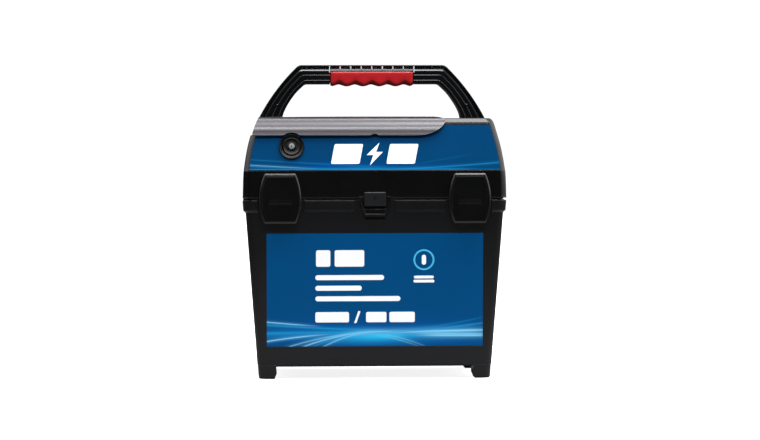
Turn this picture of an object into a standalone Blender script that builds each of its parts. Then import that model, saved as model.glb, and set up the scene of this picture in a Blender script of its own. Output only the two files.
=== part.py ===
"""Portable fence energizer: a tapered battery box with a hinged electronics lid.

Metres, +Z up.  The front faces -Y, X = 0 is the plane of symmetry of the
casing, and the origin is on the floor under the middle of the casing.
Every dimension is in millimetres; emit() and empty() convert to metres.
A "side" is +1 towards +X (right, seen from the front) or -1 towards -X.
"""
import math

import bmesh
import bpy
from mathutils import Matrix, Vector

MM = 0.001

# ---------------------------------------------------------------- shared dimensions
GAP = 0.3                     # clearance between touching pieces

# battery box
BOX_HALF_W0 = 125.7           # half width at the floor, grows with the draft
BOX_HALF_D0 = 84.0            # half depth at the floor
DRAFT = 0.0733                # outward growth per millimetre of height
BOX_CORNER_R = 9.0
BOX_WALL = 3.0
UNDERSIDE_Z = 13.1
FLOOR_Z = 16.6
RIM_Z = 193.6

# lid
LID_Z = 195.2                 # lower edge of the lid
LID_BAND_Z = 223.6            # top of the upright lower band
PANEL_Z = 225.0               # foot of the sloping label panel
PANEL_Y = -98.9
PANEL_TILT = math.radians(14.0)
PANEL_TOP_Z = 274.4
LID_TOP_Z = 281.0
LID_HALF_D = 100.3
LID_WALL = 3.0
LID_TOP_WALL = 3.5
REAR_PANEL_Y = 96.0

# labels; a "rise" is a distance up the sloping panel from its foot
TOP_LABEL_RISE = (0.4, 50.2)
LOW_LABEL_X = 116.5
LOW_LABEL_Z = (35.3, 157.3)
LABEL_T = 0.5
LABEL_RECESS = 0.8

# parts on the sloping panel
SWITCH_X, SWITCH_RISE = -89.3, 26.0
BEZEL_R = 13.7
BARREL_R = 11.6
INDICATOR_RISE = 39.0
INDICATOR_HALF_W, INDICATOR_HALF_H = 3.5, 1.8
INDICATOR_CLEARANCE = 0.4

# carrying handle
HANDLE_Y = -12.0
HANDLE_TOP_Z = 340.4
HANDLE_THICK = 20.9
HANDLE_HALF_DEPTH = 13.0
WAIST_END = 0.80              # share of the thickness left under the grip
WAIST_INSET = 1.5             # narrowing of each face under the grip
GRIP_HALF = 46.0
LEG_SCREW_X = 112.0

# latches
LATCH_X = 101.8
LATCH_Z0, LATCH_Z1 = 168.2, 221.7
LATCH_PIN_Y, LATCH_PIN_Z = -100.6, 171.5
LATCH_PIN_R = 1.4
LATCH_FRONT_Y = -106.5
LATCH_BACK_Y = -100.9
LATCH_LUG_HALF_W = 6.9
LATCH_LUG_R = 2.9

# rear hinge
HINGE_X, HINGE_Y, HINGE_Z = 92.0, 103.2, 192.0
HINGE_R = 3.3
HINGE_PIN_R = 1.5
KNUCKLE_HALF_W = 6.0
HINGE_EAR_END = 14.6          # outer end of an ear, from the hinge's middle

# sliding catch in the middle of the front
CATCH_HALF_W = 11.7
CATCH_Z = (186.6, 201.5)
CATCH_TRAVEL = 3.0

# fence and earth terminals on the back
TERMINAL_X = 45.0
TERMINAL_Z = 247.0

# floor plate screws
PLATE_SCREW_X, PLATE_SCREW_Y = 131.0, 89.5

# battery and its leads
BATTERY_W, BATTERY_D, BATTERY_H = 190.0, 125.0, 160.0
BATTERY_Z = 17.4
BATTERY_TOP_Z = BATTERY_Z + BATTERY_H
POST_X, POST_Y = 62.0, 22.0
LEAD_Z = BATTERY_TOP_Z + 7.0
GROMMET_X, GROMMET_Y = POST_X - 31.0, 72.0
GROMMET_NECK_R = 6.0

SIDES = (1, -1)
CORNERS = ((1, 1), (1, -1), (-1, 1), (-1, -1))
NAMED_SIDES = (("left", -1), ("right", 1))


# ---------------------------------------------------------------- scene tools
for old in list(bpy.data.objects):
    bpy.data.objects.remove(old, do_unlink=True)

ROOT = bpy.context.scene.collection


def material(name, colour, roughness, metallic=0.0):
    mat = bpy.data.materials.new(name)
    mat.use_nodes = True
    inputs = mat.node_tree.nodes["Principled BSDF"].inputs
    inputs["Base Color"].default_value = (*colour, 1.0)
    inputs["Roughness"].default_value = roughness
    inputs["Metallic"].default_value = metallic
    mat.diffuse_color = (*colour, 1.0)
    return mat


def emit(name, data, mat=None, origin=(0, 0, 0), frame=None, smooth=None):
    """Mesh object from (points, faces).  With a frame the points are local.

    smooth is the angle in degrees above which an edge stays sharp.
    """
    points, faces = data
    shift = Vector(origin) if frame is None else Vector()
    mesh = bpy.data.meshes.new(name)
    bm = bmesh.new()
    made = [bm.verts.new((Vector(point) - shift) * MM) for point in points]
    for face in faces:
        bm.faces.new([made[i] for i in face])
    bmesh.ops.recalc_face_normals(bm, faces=bm.faces)
    bm.to_mesh(mesh)
    bm.free()
    ob = bpy.data.objects.new(name, mesh)
    ROOT.objects.link(ob)
    if frame is None:
        ob.location = shift * MM
    else:
        placed = frame.copy()
        placed.translation = placed.translation * MM
        ob.matrix_world = placed
    if smooth is not None:
        mesh.shade_smooth()
        mesh.set_sharp_from_angle(angle=math.radians(smooth))
    if mat is not None:
        mesh.materials.append(mat)
    return ob


def empty(name, position):
    ob = bpy.data.objects.new(name, None)
    ob.location = Vector(position) * MM
    ob.empty_display_size = 0.01
    ROOT.objects.link(ob)
    return ob


def hang(child, parent):
    """Parent a piece to an empty and keep the piece where it is."""
    place = parent.location.copy()
    if parent.parent is not None:
        place = parent.matrix_parent_inverse @ place + parent.parent.location
    child.parent = parent
    child.matrix_parent_inverse = Matrix.Translation(-place)


# ---------------------------------------------------------------- outlines
def arc(centre, radius, start, sweep, steps):
    """Points on an arc; start and sweep are degrees."""
    points = []
    for i in range(steps + 1):
        angle = math.radians(start + sweep * i / steps)
        points.append((centre[0] + radius * math.cos(angle),
                       centre[1] + radius * math.sin(angle)))
    return points


def round_rect(z, half_x, front, back, radius, steps=4):
    """Rounded rectangle seen from above, counter-clockwise."""
    x = half_x - radius
    corners = (((x, back - radius), 0), ((-x, back - radius), 90),
               ((-x, front + radius), 180), ((x, front + radius), 270))
    return [(px, py, z) for centre, start in corners
            for px, py in arc(centre, radius, start, 90.0, steps)]


def circle(radius, n, z):
    return [(radius * math.cos(2 * math.pi * i / n), radius * math.sin(2 * math.pi * i / n), z)
            for i in range(n)]


# ---------------------------------------------------------------- bodies as (points, faces)
def loft_data(rings, close=False):
    """Skin over equal rings: capped at both ends, or closed into a loop."""
    n = len(rings[0])
    points = [point for ring in rings for point in ring]
    faces = []
    for k in range(len(rings) if close else len(rings) - 1):
        this, after = k * n, ((k + 1) % len(rings)) * n
        for i in range(n):
            j = (i + 1) % n
            faces.append((this + i, this + j, after + j, after + i))
    if not close:
        faces.append(tuple(range(n))[::-1])
        faces.append(tuple(range((len(rings) - 1) * n, len(rings) * n)))
    return points, faces


def block_data(x0, x1, y0, y1, z0, z1):
    points = [(x, y, z) for z in (z0, z1) for x, y in ((x0, y0), (x1, y0), (x1, y1), (x0, y1))]
    faces = [(3, 2, 1, 0), (4, 5, 6, 7), (0, 1, 5, 4), (1, 2, 6, 5), (2, 3, 7, 6), (3, 0, 4, 7)]
    return points, faces


def prism_data(outline, start, end, axis):
    """Push an outline along an axis: 'x' takes (y, z), 'y' takes (x, z), 'z' takes (x, y)."""
    place = "xyz".index(axis)
    return loft_data([[(*point[:place], level, *point[place:]) for point in outline]
                      for level in (start, end)])


def cylinder_data(axis, centre, radius, start, end, n=16):
    """Cylinder along an axis, centred on the two other coordinates."""
    turns = [2 * math.pi * (i + 0.5) / n for i in range(n)]
    outline = [(centre[0] + radius * math.cos(turn), centre[1] + radius * math.sin(turn))
               for turn in turns]
    return prism_data(outline, start, end, axis)


def loft(name, rings, mat, close=False, **placing):
    return emit(name, loft_data(rings, close), mat, **placing)


def turned(name, profile, n, mat, close=False, **placing):
    """Solid of revolution about local Z from (radius, z) points."""
    return loft(name, [circle(radius, n, z) for radius, z in profile], mat, close, **placing)


def tube(name, loop, n, mat, **placing):
    """Ring-shaped body of revolution from a closed (radius, z) loop."""
    return turned(name, loop, n, mat, close=True, **placing)


# ---------------------------------------------------------------- Booleans
def boolean(target, name, body, operation):
    """Modifier driven by a hidden helper that is never part of the object itself."""
    tool = emit(name, body)
    tool.hide_render = True
    tool.display_type = "WIRE"
    modifier = target.modifiers.new(operation.title() + "_" + name, "BOOLEAN")
    modifier.object = tool
    modifier.operation = operation
    modifier.solver = "EXACT"


def add(target, name, *bodies):
    for k, body in enumerate(bodies):
        boolean(target, f"guide_{name}_{k}", body, "UNION")


def cut(target, name, *bodies):
    for k, body in enumerate(bodies):
        boolean(target, f"cutter_{name}_{k}", body, "DIFFERENCE")


# ---------------------------------------------------------------- frames
PANEL_OUT = Vector((0, -math.cos(PANEL_TILT), math.sin(PANEL_TILT)))
PANEL_UP = Vector((0, math.sin(PANEL_TILT), math.cos(PANEL_TILT)))


def axis_frame(origin, z_axis):
    """Frame with a given local Z, and local X along the world's X."""
    z_axis = Vector(z_axis)
    x_axis = Vector((1, 0, 0))
    frame = Matrix((x_axis, z_axis.cross(x_axis), z_axis)).transposed().to_4x4()
    frame.translation = Vector(origin)
    return frame


def panel_frame(x, rise, lift=0.0):
    """Axes on the sloping panel: local Z points out of it, local Y up it."""
    origin = Vector((x, PANEL_Y, PANEL_Z)) + PANEL_UP * rise + PANEL_OUT * lift
    return axis_frame(origin, PANEL_OUT)


def on_panel(data, x=0.0, rise=0.0):
    """Carry a body from panel axes into world axes."""
    frame = panel_frame(x, rise)
    return [tuple(frame @ Vector(point)) for point in data[0]], data[1]


# the switch stands on the top label
SWITCH_FRAME = panel_frame(SWITCH_X, SWITCH_RISE, -LABEL_RECESS + GAP + LABEL_T + GAP)


# ---------------------------------------------------------------- materials
BODY = material("moulded_black", colour=(0.012, 0.012, 0.014), roughness=0.42)
LID = material("moulded_black_satin", colour=(0.010, 0.010, 0.011), roughness=0.35)
HOOD = material("hood_grey_black", colour=(0.030, 0.031, 0.033), roughness=0.33)
LABEL_BLUE = material("label_blue", colour=(0.0, 0.065, 0.195), roughness=0.30)
GRIP_RED = material("grip_red", colour=(0.55, 0.030, 0.035), roughness=0.42)
BUTTON = material("button_black", colour=(0.014, 0.014, 0.015), roughness=0.28)
CLEAR_LENS = material("clear_lens", colour=(0.62, 0.66, 0.68), roughness=0.12)
DARK_LENS = material("dark_lens", colour=(0.02, 0.02, 0.022), roughness=0.10)
STEEL = material("zinc_steel", colour=(0.60, 0.60, 0.61), roughness=0.32, metallic=1.0)
BRASS = material("plated_brass", colour=(0.62, 0.48, 0.22), roughness=0.30, metallic=1.0)
SEAL = material("seal_rubber", colour=(0.020, 0.020, 0.021), roughness=0.75)
BATTERY_CASE = material("battery_case", colour=(0.10, 0.11, 0.12), roughness=0.45)
BOARD = material("board_green", colour=(0.010, 0.085, 0.035), roughness=0.40)
CAPACITOR = material("capacitor_sleeve", colour=(0.025, 0.045, 0.11), roughness=0.30)
CORE = material("core_laminations", colour=(0.16, 0.16, 0.17), roughness=0.45, metallic=1.0)
COIL_TAPE = material("coil_tape", colour=(0.55, 0.33, 0.06), roughness=0.45)
RED_WIRE = material("wire_red", colour=(0.50, 0.02, 0.02), roughness=0.45)
BLACK_WIRE = material("wire_black", colour=(0.015, 0.015, 0.015), roughness=0.45)
RED_KNOB = material("knob_red", colour=(0.50, 0.025, 0.03), roughness=0.38)
GREEN_KNOB = material("knob_green", colour=(0.02, 0.20, 0.07), roughness=0.38)


# ---------------------------------------------------------------- battery box
FOOT_W, FOOT_D = 20.0, 27.0
FOOT_INSET = 0.35             # from the drafted side of the box
FOOT_CORNER_R = 8.6
PAD_Z0, PAD_Z1 = 179.0, 192.7
PAD_PROUD = 2.3
PAD_SINK = 0.6                # how far the foot of a pad or nub lies inside the wall face
PAD_BEVEL_H = 3.0
PAD_X = (22.0, 76.0)
NUB_T = 3.4                   # nub depth behind the undisplaced wall face
NUB_LENGTH_Y = 22.0
NUB_END_X = 125.6


def box_half(z):
    """Half width and half depth of the box at a height."""
    return BOX_HALF_W0 + DRAFT * z, BOX_HALF_D0 + DRAFT * z


def box_ring(z, growth=0.0, radius=None):
    half_x, half_y = box_half(z)
    if radius is None:
        radius = BOX_CORNER_R + growth
    return round_rect(z, half_x + growth, -half_y - growth, half_y + growth, radius)


def foot_data(side_x, side_y):
    rings = []
    for z, trim in ((0.0, 3.0), (6.2, 0.0), (UNDERSIDE_Z + 1.6, 0.0)):
        outer_x, outer_y = (half - FOOT_INSET for half in box_half(z))
        inner_x, inner_y = outer_x - FOOT_W + trim, outer_y - FOOT_D + trim
        outline = [(inner_x, inner_y), (outer_x, inner_y)]
        outline += arc((outer_x - FOOT_CORNER_R, outer_y - FOOT_CORNER_R), FOOT_CORNER_R,
                       0, 90.0, 4)
        outline.append((inner_x, outer_y))
        rings.append([(side_x * x, side_y * y, z) for x, y in outline])
    return loft_data(rings)


def rim_pads():
    """Raised pads under the rim, two on the front and two on the back."""
    face = box_half(PAD_Z1)[1]
    root = face - 2.3
    low = box_half(PAD_Z0)[1] - PAD_SINK
    proud = face + PAD_PROUD
    front = [(-root, PAD_Z1), (-root, PAD_Z0), (-low, PAD_Z0),
             (-proud, PAD_Z0 + PAD_BEVEL_H), (-proud, PAD_Z1)]
    back = [(-y, z) for y, z in front]
    near, far = PAD_X
    return [prism_data(section, start, end, "x")
            for start, end in ((near, far), (-far, -near)) for section in (front, back)]


def corner_nub(side_x, side_y):
    """Raised strip that wraps one corner under the rim."""
    rings = []
    for z, growth in ((PAD_Z0, -PAD_SINK), (PAD_Z0 + PAD_BEVEL_H, PAD_PROUD),
                      (PAD_Z1, PAD_PROUD)):
        half_x, half_y = box_half(z)
        outer_x, outer_y = half_x + growth, half_y + growth
        inner_x, inner_y = outer_x - NUB_T - growth, outer_y - NUB_T - growth
        radius = BOX_CORNER_R + growth
        outline = [(inner_x, half_y - NUB_LENGTH_Y), (outer_x, half_y - NUB_LENGTH_Y)]
        outline += arc((outer_x - radius, outer_y - radius), radius, 0, 90.0, 4)
        outline += [(NUB_END_X, outer_y), (NUB_END_X, inner_y),
                    (inner_x - 5.0, inner_y), (inner_x, inner_y - 5.0)]
        rings.append([(side_x * x, side_y * y, z) for x, y in outline])
    return loft_data(rings)


def latch_lug(side):
    """Lug on the front of the box that carries a latch pin."""
    root = -box_half(LATCH_PIN_Z)[1] + 1.2
    low, high = LATCH_PIN_Z - LATCH_LUG_R, LATCH_PIN_Z + LATCH_LUG_R
    nose = arc((LATCH_PIN_Y, LATCH_PIN_Z), LATCH_LUG_R, 270.0, -180.0, 8)[1:-1]
    outline = [(root, low), (LATCH_PIN_Y, low), *nose, (LATCH_PIN_Y, high), (root, high)]
    middle = side * LATCH_X
    return prism_data(outline, middle - LATCH_LUG_HALF_W, middle + LATCH_LUG_HALF_W, "x")


def latch_pin_bore(side, half_length):
    return cylinder_data("x", (LATCH_PIN_Y, LATCH_PIN_Z), LATCH_PIN_R + GAP,
                         side * LATCH_X - half_length, side * LATCH_X + half_length)


def hinge_bore(side, half_length):
    return cylinder_data("x", (HINGE_Y, HINGE_Z), HINGE_PIN_R + GAP,
                         side * HINGE_X - half_length, side * HINGE_X + half_length)


def hinge_ears(side):
    """Two ears on the back of the box, one at each end of a lid knuckle."""
    wall = box_half(HINGE_Z - 4)[1]
    outline = [(wall - 1.2, HINGE_Z - 11.0), (wall + 0.6, HINGE_Z - 11.0)]
    outline += arc((HINGE_Y, HINGE_Z), HINGE_R, -60.0, 235.0, 9)
    outline.append((wall - 1.2, HINGE_Z + 0.2))
    near = KNUCKLE_HALF_W + GAP
    return [prism_data(outline, side * start, side * end, "x")
            for start, end in ((HINGE_X - HINGE_EAR_END, HINGE_X - near),
                               (HINGE_X + near, HINGE_X + HINGE_EAR_END))]


def low_label_recess():
    margin = 0.5
    half_x = LOW_LABEL_X + margin
    rings = []
    for z in (LOW_LABEL_Z[0] - margin, LOW_LABEL_Z[1] + margin):
        wall = -box_half(z)[1]
        rings.append([(-half_x, wall - 3.0, z), (half_x, wall - 3.0, z),
                      (half_x, wall + LABEL_RECESS, z), (-half_x, wall + LABEL_RECESS, z)])
    return loft_data(rings)


def battery_rails():
    """Low rails on the floor round the foot of the battery."""
    clearance, outer = 0.8, 3.6
    bottom, top = FLOOR_Z - 1.2, 32.0
    rails = []
    for side in SIDES:
        x0, x1 = sorted(side * (BATTERY_W / 2 + step) for step in (clearance, outer))
        y0, y1 = sorted(side * (BATTERY_D / 2 + step) for step in (clearance, outer))
        rails.append(block_data(x0, x1, -45, 45, bottom, top))
        rails.append(block_data(-38, 38, y0, y1, bottom, top))
    return rails


def build_battery_box():
    outer = [box_ring(UNDERSIDE_Z, -3.2), box_ring(UNDERSIDE_Z + 1.0, -1.2),
             box_ring(UNDERSIDE_Z + 3.4), box_ring(RIM_Z)]
    inner = [box_ring(z, -BOX_WALL, 6.0) for z in (RIM_Z, FLOOR_Z)]
    box = loft("battery_box", outer + inner, BODY, smooth=30)
    add(box, "feet", *[foot_data(*corner) for corner in CORNERS])
    add(box, "front_pads", *rim_pads())
    add(box, "corner_nubs", *[corner_nub(*corner) for corner in CORNERS])
    add(box, "latch_lugs", *[latch_lug(side) for side in SIDES])
    cut(box, "latch_pin_bores", *[latch_pin_bore(side, 9.0) for side in SIDES])
    add(box, "hinge_ears", *[ear for side in SIDES for ear in hinge_ears(side)])
    cut(box, "hinge_bores", *[hinge_bore(side, 16.0) for side in SIDES])
    cut(box, "label_recess", low_label_recess())
    # shallow slot below the lid's tongue
    cut(box, "tongue_slot",
        block_data(-11.0, 11.0, -110.0, -box_half(173)[1] + 1.8, 171.8, 175.1))
    add(box, "battery_rails", *battery_rails())


def build_front_label():
    front, back = [], []
    for x, z, _ in round_rect(0, LOW_LABEL_X, *LOW_LABEL_Z, 3.0, 3):
        y = -box_half(z)[1] + LABEL_RECESS - GAP
        front.append((x, y - LABEL_T, z))
        back.append((x, y, z))
    loft("front_label", [back, front], LABEL_BLUE)


# ---------------------------------------------------------------- lid
# (height, half width) of the lid's side, which leans in more as it rises
LID_SIDE = (
    (LID_Z, 141.9), (203.0, 141.7), (216.0, 141.4), (LID_BAND_Z, 140.9), (PANEL_Z, 140.8),
    (229.0, 140.2), (235.5, 139.3), (242.0, 138.2), (248.5, 137.0), (257.0, 135.0),
    (261.5, 133.7), (269.6, 131.5), (PANEL_TOP_Z, 130.1), (277.2, 129.0), (279.4, 127.6),
    (280.6, 126.2), (LID_TOP_Z, 124.8),
)
# heights of the rings inside the lid
LID_INNER_Z = (LID_Z, 216.0, 223.0, 226.0, 229.5, 248.5, 264.0, 272.0,
               LID_TOP_Z - LID_TOP_WALL)
REAR_PANEL_Z = (229.0, 264.0)
FRONT_ROLL, REAR_ROLL = 7.5, 9.0      # how far the top edges round off inwards
LABEL_END_INSET = 5.9                 # from the lid's side to the top label's end
TONGUE_HALF_W = (16.4, 11.9)          # at the top and at the tip
TONGUE_Z = (176.5, 189.4)             # tip, and top of the tapered part


def lid_half(z):
    """Half width of the lid at a height."""
    for (z0, half0), (z1, half1) in zip(LID_SIDE, LID_SIDE[1:]):
        if z <= z1:
            return half0 + (half1 - half0) * max(0.0, z - z0) / (z1 - z0)
    return LID_SIDE[-1][1]


def roll_in(z, start_z, depth):
    """Inward shift of an edge that rounds off between start_z and the lid's top."""
    share = (z - start_z) / (LID_TOP_Z - start_z)
    return depth * (1.0 - math.sqrt(max(0.0, 1.0 - share * share)))


def lid_front(z):
    if z <= LID_BAND_Z:
        return -LID_HALF_D
    if z <= PANEL_Z:
        share = (z - LID_BAND_Z) / (PANEL_Z - LID_BAND_Z)
        return -LID_HALF_D + (PANEL_Y + LID_HALF_D) * share
    if z <= PANEL_TOP_Z:
        return PANEL_Y + (z - PANEL_Z) * math.tan(PANEL_TILT)
    panel_top_y = PANEL_Y + (PANEL_TOP_Z - PANEL_Z) * math.tan(PANEL_TILT)
    return panel_top_y + roll_in(z, PANEL_TOP_Z, FRONT_ROLL)


def lid_back(z):
    low, high = REAR_PANEL_Z
    if z <= LID_BAND_Z:
        return LID_HALF_D
    if z <= low:
        return LID_HALF_D + (REAR_PANEL_Y - LID_HALF_D) * (z - LID_BAND_Z) / (low - LID_BAND_Z)
    if z <= high:
        return REAR_PANEL_Y
    return REAR_PANEL_Y - roll_in(z, high, REAR_ROLL)


def lid_ring(z, inset=0.0, radius=9.0):
    # 1.03 keeps the wall's thickness where the front slopes
    return round_rect(z, lid_half(z) - inset, lid_front(z) + inset * 1.03,
                      lid_back(z) - inset, radius)


def top_label_data(margin, *lifts):
    """Slab in panel axes whose ends follow the lean of the lid's sides."""
    low, high = TOP_LABEL_RISE
    steps = 5
    right = []
    for i in range(steps + 1):
        rise = low + (high - low) * i / steps
        if i == 0:
            rise -= margin
        elif i == steps:
            rise += margin
        z = PANEL_Z + rise * math.cos(PANEL_TILT)
        right.append((lid_half(z) - LABEL_END_INSET + margin, rise))
    outline = right + [(-x, rise) for x, rise in right[::-1]]
    return loft_data([[(x, rise, lift) for x, rise in outline] for lift in lifts])


def switch_hole(clearance, depth):
    return on_panel(cylinder_data("z", (0, 0), BARREL_R + clearance, -depth, 6, 32),
                    SWITCH_X, SWITCH_RISE)


def indicator_hole(depth):
    half_x = INDICATOR_HALF_W + INDICATOR_CLEARANCE
    half_y = INDICATOR_HALF_H + INDICATOR_CLEARANCE
    return on_panel(block_data(-half_x, half_x, -half_y, half_y, -depth, 6), 0, INDICATOR_RISE)


def tongue_data():
    """Tongue in the middle of the front, hanging below the lid's edge."""
    top_half, tip_half = TONGUE_HALF_W
    tip_z, taper_z = TONGUE_Z
    outline = [(-tip_half, tip_z), (tip_half, tip_z), (top_half, taper_z),
               (top_half, LID_Z + 2.0), (-top_half, LID_Z + 2.0), (-top_half, taper_z)]
    return prism_data(outline, -98.45, -101.0, "y")


def latch_groove(side):
    """Groove for a latch nose, open at the lid's lower edge."""
    middle = side * LATCH_X
    return block_data(middle - 13.0, middle + 13.0, -104.0, -98.7, LID_Z - 3.0, 220.4)


def hinge_knuckle(side):
    outline = [(HINGE_Y - 5.6, HINGE_Z + 12.0), (HINGE_Y - 5.6, HINGE_Z + 4.4),
               (HINGE_Y - 2.6, HINGE_Z + 2.03)]
    outline += arc((HINGE_Y, HINGE_Z), HINGE_R, 150.0, 210.0, 10)
    outline.append((HINGE_Y + HINGE_R, HINGE_Z + 3.0))
    middle = side * HINGE_X
    return prism_data(outline, middle - KNUCKLE_HALF_W, middle + KNUCKLE_HALF_W, "x")


def at_plate_screws(radius, z0, z1, n):
    """Upright cylinders at the four floor plate screws."""
    return [cylinder_data("z", (side_x * PLATE_SCREW_X, side_y * PLATE_SCREW_Y),
                          radius, z0, z1, n) for side_x, side_y in CORNERS]


def at_leg_screws(radius, z0, z1):
    """Upright cylinders at the two handle screws."""
    return [cylinder_data("z", (side * LEG_SCREW_X, HANDLE_Y), radius, z0, z1, 12)
            for side in SIDES]


def build_lid_shell():
    inner = [lid_ring(z, LID_WALL, 6.0) for z in LID_INNER_Z]
    outer = [lid_ring(z) for z, _ in LID_SIDE]
    lid = loft("lid_shell", inner[::-1] + outer, LID, smooth=24)

    cut(lid, "label_recess", on_panel(top_label_data(0.4, -LABEL_RECESS, 2.5)))
    cut(lid, "switch_hole", switch_hole(GAP, 14))
    cut(lid, "lens_hole", indicator_hole(12))
    add(lid, "tongue", tongue_data())
    cut(lid, "catch_window", block_data(-CATCH_HALF_W - GAP, CATCH_HALF_W + GAP, -104.0, -99.4,
                                        CATCH_Z[0] - CATCH_TRAVEL - 0.4, CATCH_Z[1] + GAP))
    cut(lid, "latch_grooves", *[latch_groove(side) for side in SIDES])
    add(lid, "knuckles", *[hinge_knuckle(side) for side in SIDES])
    cut(lid, "knuckle_bores", *[hinge_bore(side, 8.0) for side in SIDES])
    add(lid, "screw_bosses", *at_plate_screws(8.2, 200.3, 214.0, 16))
    cut(lid, "screw_pilots", *at_plate_screws(1.9, 198.0, 211.5, 12))
    cut(lid, "handle_holes", *at_leg_screws(2.4, 270, 290))
    cut(lid, "stud_holes", *[cylinder_data("y", (side * TERMINAL_X, TERMINAL_Z), 3.4, 85, 105)
                             for side in SIDES])


def build_top_label():
    bottom = -LABEL_RECESS + GAP
    label = emit("top_label", top_label_data(0.0, bottom, bottom + LABEL_T), LABEL_BLUE,
                 frame=panel_frame(0, 0))
    cut(label, "label_switch", switch_hole(0.6, 4))
    cut(label, "label_lens", indicator_hole(4))


def build_floor_plate():
    """Plate that closes the lid from below."""
    front = -LID_HALF_D + LID_WALL * 1.03 + GAP
    back = LID_HALF_D - LID_WALL - GAP
    half_x = lid_half(198) - LID_WALL - GAP
    plate = loft("lid_floor_plate", [round_rect(z, half_x, front, back, 5.6)
                                     for z in (197.1, 199.9)], BODY)
    add(plate, "board_pegs", *[cylinder_data("z", (x, y), 3.2, 199.0, 206.0, 12)
                               for x in (-76, 76) for y in (-44, 52)])
    cut(plate, "plate_screw_holes", *at_plate_screws(2.3, 190, 205, 12))
    cut(plate, "plate_lead_hole", cylinder_data("z", (GROMMET_X, GROMMET_Y),
                                                GROMMET_NECK_R + GAP, 190, 205))


def build_lid_seal():
    """Rubber ring between the box's rim and the floor plate."""
    half_x, half_y = (half - 1.3 for half in box_half(RIM_Z))
    # (height, growth) round the seal's section
    section = ((194.0, -0.8), (194.0, 0.2), (195.2, 0.3),
               (196.8, 0.2), (196.8, -1.4), (195.2, -1.5))
    rings = [round_rect(z, half_x + growth, -(half_y + growth), half_y + growth, 7.5 + growth)
             for z, growth in section]
    loft("lid_seal", rings, SEAL, close=True)


# ---------------------------------------------------------------- hood
# The hood covers the lid's top front edge.
HOOD_X0, HOOD_X1 = -131.5, 77.2
HOOD_T = 2.2
HOOD_LOW_Z = 262.2
HOOD_TOP_Z = 283.2
HOOD_ROLL_Y = -72.0           # where the flat top starts to roll over
HOOD_ROLL_DEPTH = 22.8
HOOD_ROLL_POWER = 2.0 / 2.8   # squares off the quarter ellipse
HOOD_ROLL_STEPS = 9
HOOD_SEAT_Z = LID_TOP_Z + 0.35
HOOD_CURVE_X = 44.0           # where the right end's lower edge starts to sweep up
# (x, z) outline beyond the left end, following the lean of the lid's side
HOOD_LEFT_CUT = (
    (-132.6, 250.0), (-132.0, 262.0), (-130.4, 268.0), (-128.6, 273.0), (-126.2, 279.0),
    (-123.6, 284.0), (-150.0, 284.0), (-150.0, 250.0),
)


def hood_outer():
    """Outer section in (y, z), from the rear of the top to the lower front edge."""
    points = [(-55.0, 281.35), (-57.0, 282.7)]
    height = HOOD_TOP_Z - HOOD_LOW_Z
    for i in range(HOOD_ROLL_STEPS + 1):
        angle = math.radians(90.0 - 84.0 * i / HOOD_ROLL_STEPS)
        points.append((HOOD_ROLL_Y - HOOD_ROLL_DEPTH * math.cos(angle) ** HOOD_ROLL_POWER,
                       HOOD_LOW_Z + height * math.sin(angle) ** HOOD_ROLL_POWER))
    points.append((HOOD_ROLL_Y - HOOD_ROLL_DEPTH, HOOD_LOW_Z))
    return points


def hood_inner(outer):
    """The outer section offset by the wall and kept clear of the lid."""
    inner = [(-57.5, HOOD_SEAT_Z)]
    last = len(outer) - 1
    for i in range(2, len(outer)):
        before, after = outer[i - 1], outer[min(i + 1, last)]
        along = Vector((after[0] - before[0], after[1] - before[1])).normalized()
        y = outer[i][0] - along.y * HOOD_T
        z = outer[i][1] + along.x * HOOD_T
        if i == last:
            z = HOOD_LOW_Z
        elif z > LID_TOP_Z - 2.5:
            z = max(z, HOOD_SEAT_Z)
        if z < LID_TOP_Z:
            y = min(y, lid_front(z) - 0.45)
        inner.append((y, z))
    return inner


def hood_sweep():
    """Outline below the right end: a quarter ellipse from the lower edge to the top."""
    width = HOOD_X1 - HOOD_CURVE_X
    top = LID_TOP_Z + 0.6
    height = LID_TOP_Z - HOOD_LOW_Z + 0.6
    edge = []
    for i in range(15):
        angle = math.radians(90.0 * i / 14)
        edge.append((HOOD_CURVE_X + width * math.sin(angle), top - height * math.cos(angle)))
    return edge + [(HOOD_X1 + 0.4, 290.0), (115.0, 290.0), (115.0, 250.0),
                   (HOOD_CURVE_X, 250.0)]


def hood_notch():
    """Round-topped notch over the indicator."""
    outline = [(-5.0, 255.0), (5.0, 255.0)]
    for i in range(9):
        angle = math.radians(180.0 * i / 8)
        outline.append((4.6 * math.cos(angle), 262.0 + 2.2 * math.sin(angle)))
    return outline


def build_hood():
    outer = hood_outer()
    section = outer + hood_inner(outer)[::-1]
    hood = emit("hood", prism_data(section, HOOD_X0, HOOD_X1, "x"), HOOD, smooth=30)
    cut(hood, "hood_sweep", prism_data(hood_sweep(), -120, -40, "y"))
    cut(hood, "hood_left", prism_data(HOOD_LEFT_CUT, -120, -40, "y"))
    # arch round the switch bezel
    cut(hood, "hood_switch_arch", on_panel(
        cylinder_data("z", (0, 0), BEZEL_R + 1.1, -6, 40, 32), SWITCH_X, SWITCH_RISE))
    cut(hood, "hood_notch", prism_data(hood_notch(), -120, -80, "y"))


# ---------------------------------------------------------------- handle
# half length of the flat top, then (radius, degrees turned down, steps) of each bend
HANDLE_OUTER = (77.0, ((8.0, 44.0, 3), (215.0, 17.6, 7)))
HANDLE_INNER = (71.2, ((6.0, 42.0, 3), (108.0, 21.4, 7)))
GRIP_STEPS = 50
SCALLOP_PITCH = 18.0
SCALLOP_DEPTH = 2.1
SCALLOPS_HALF = 2.5 * SCALLOP_PITCH   # five scallops in all


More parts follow.
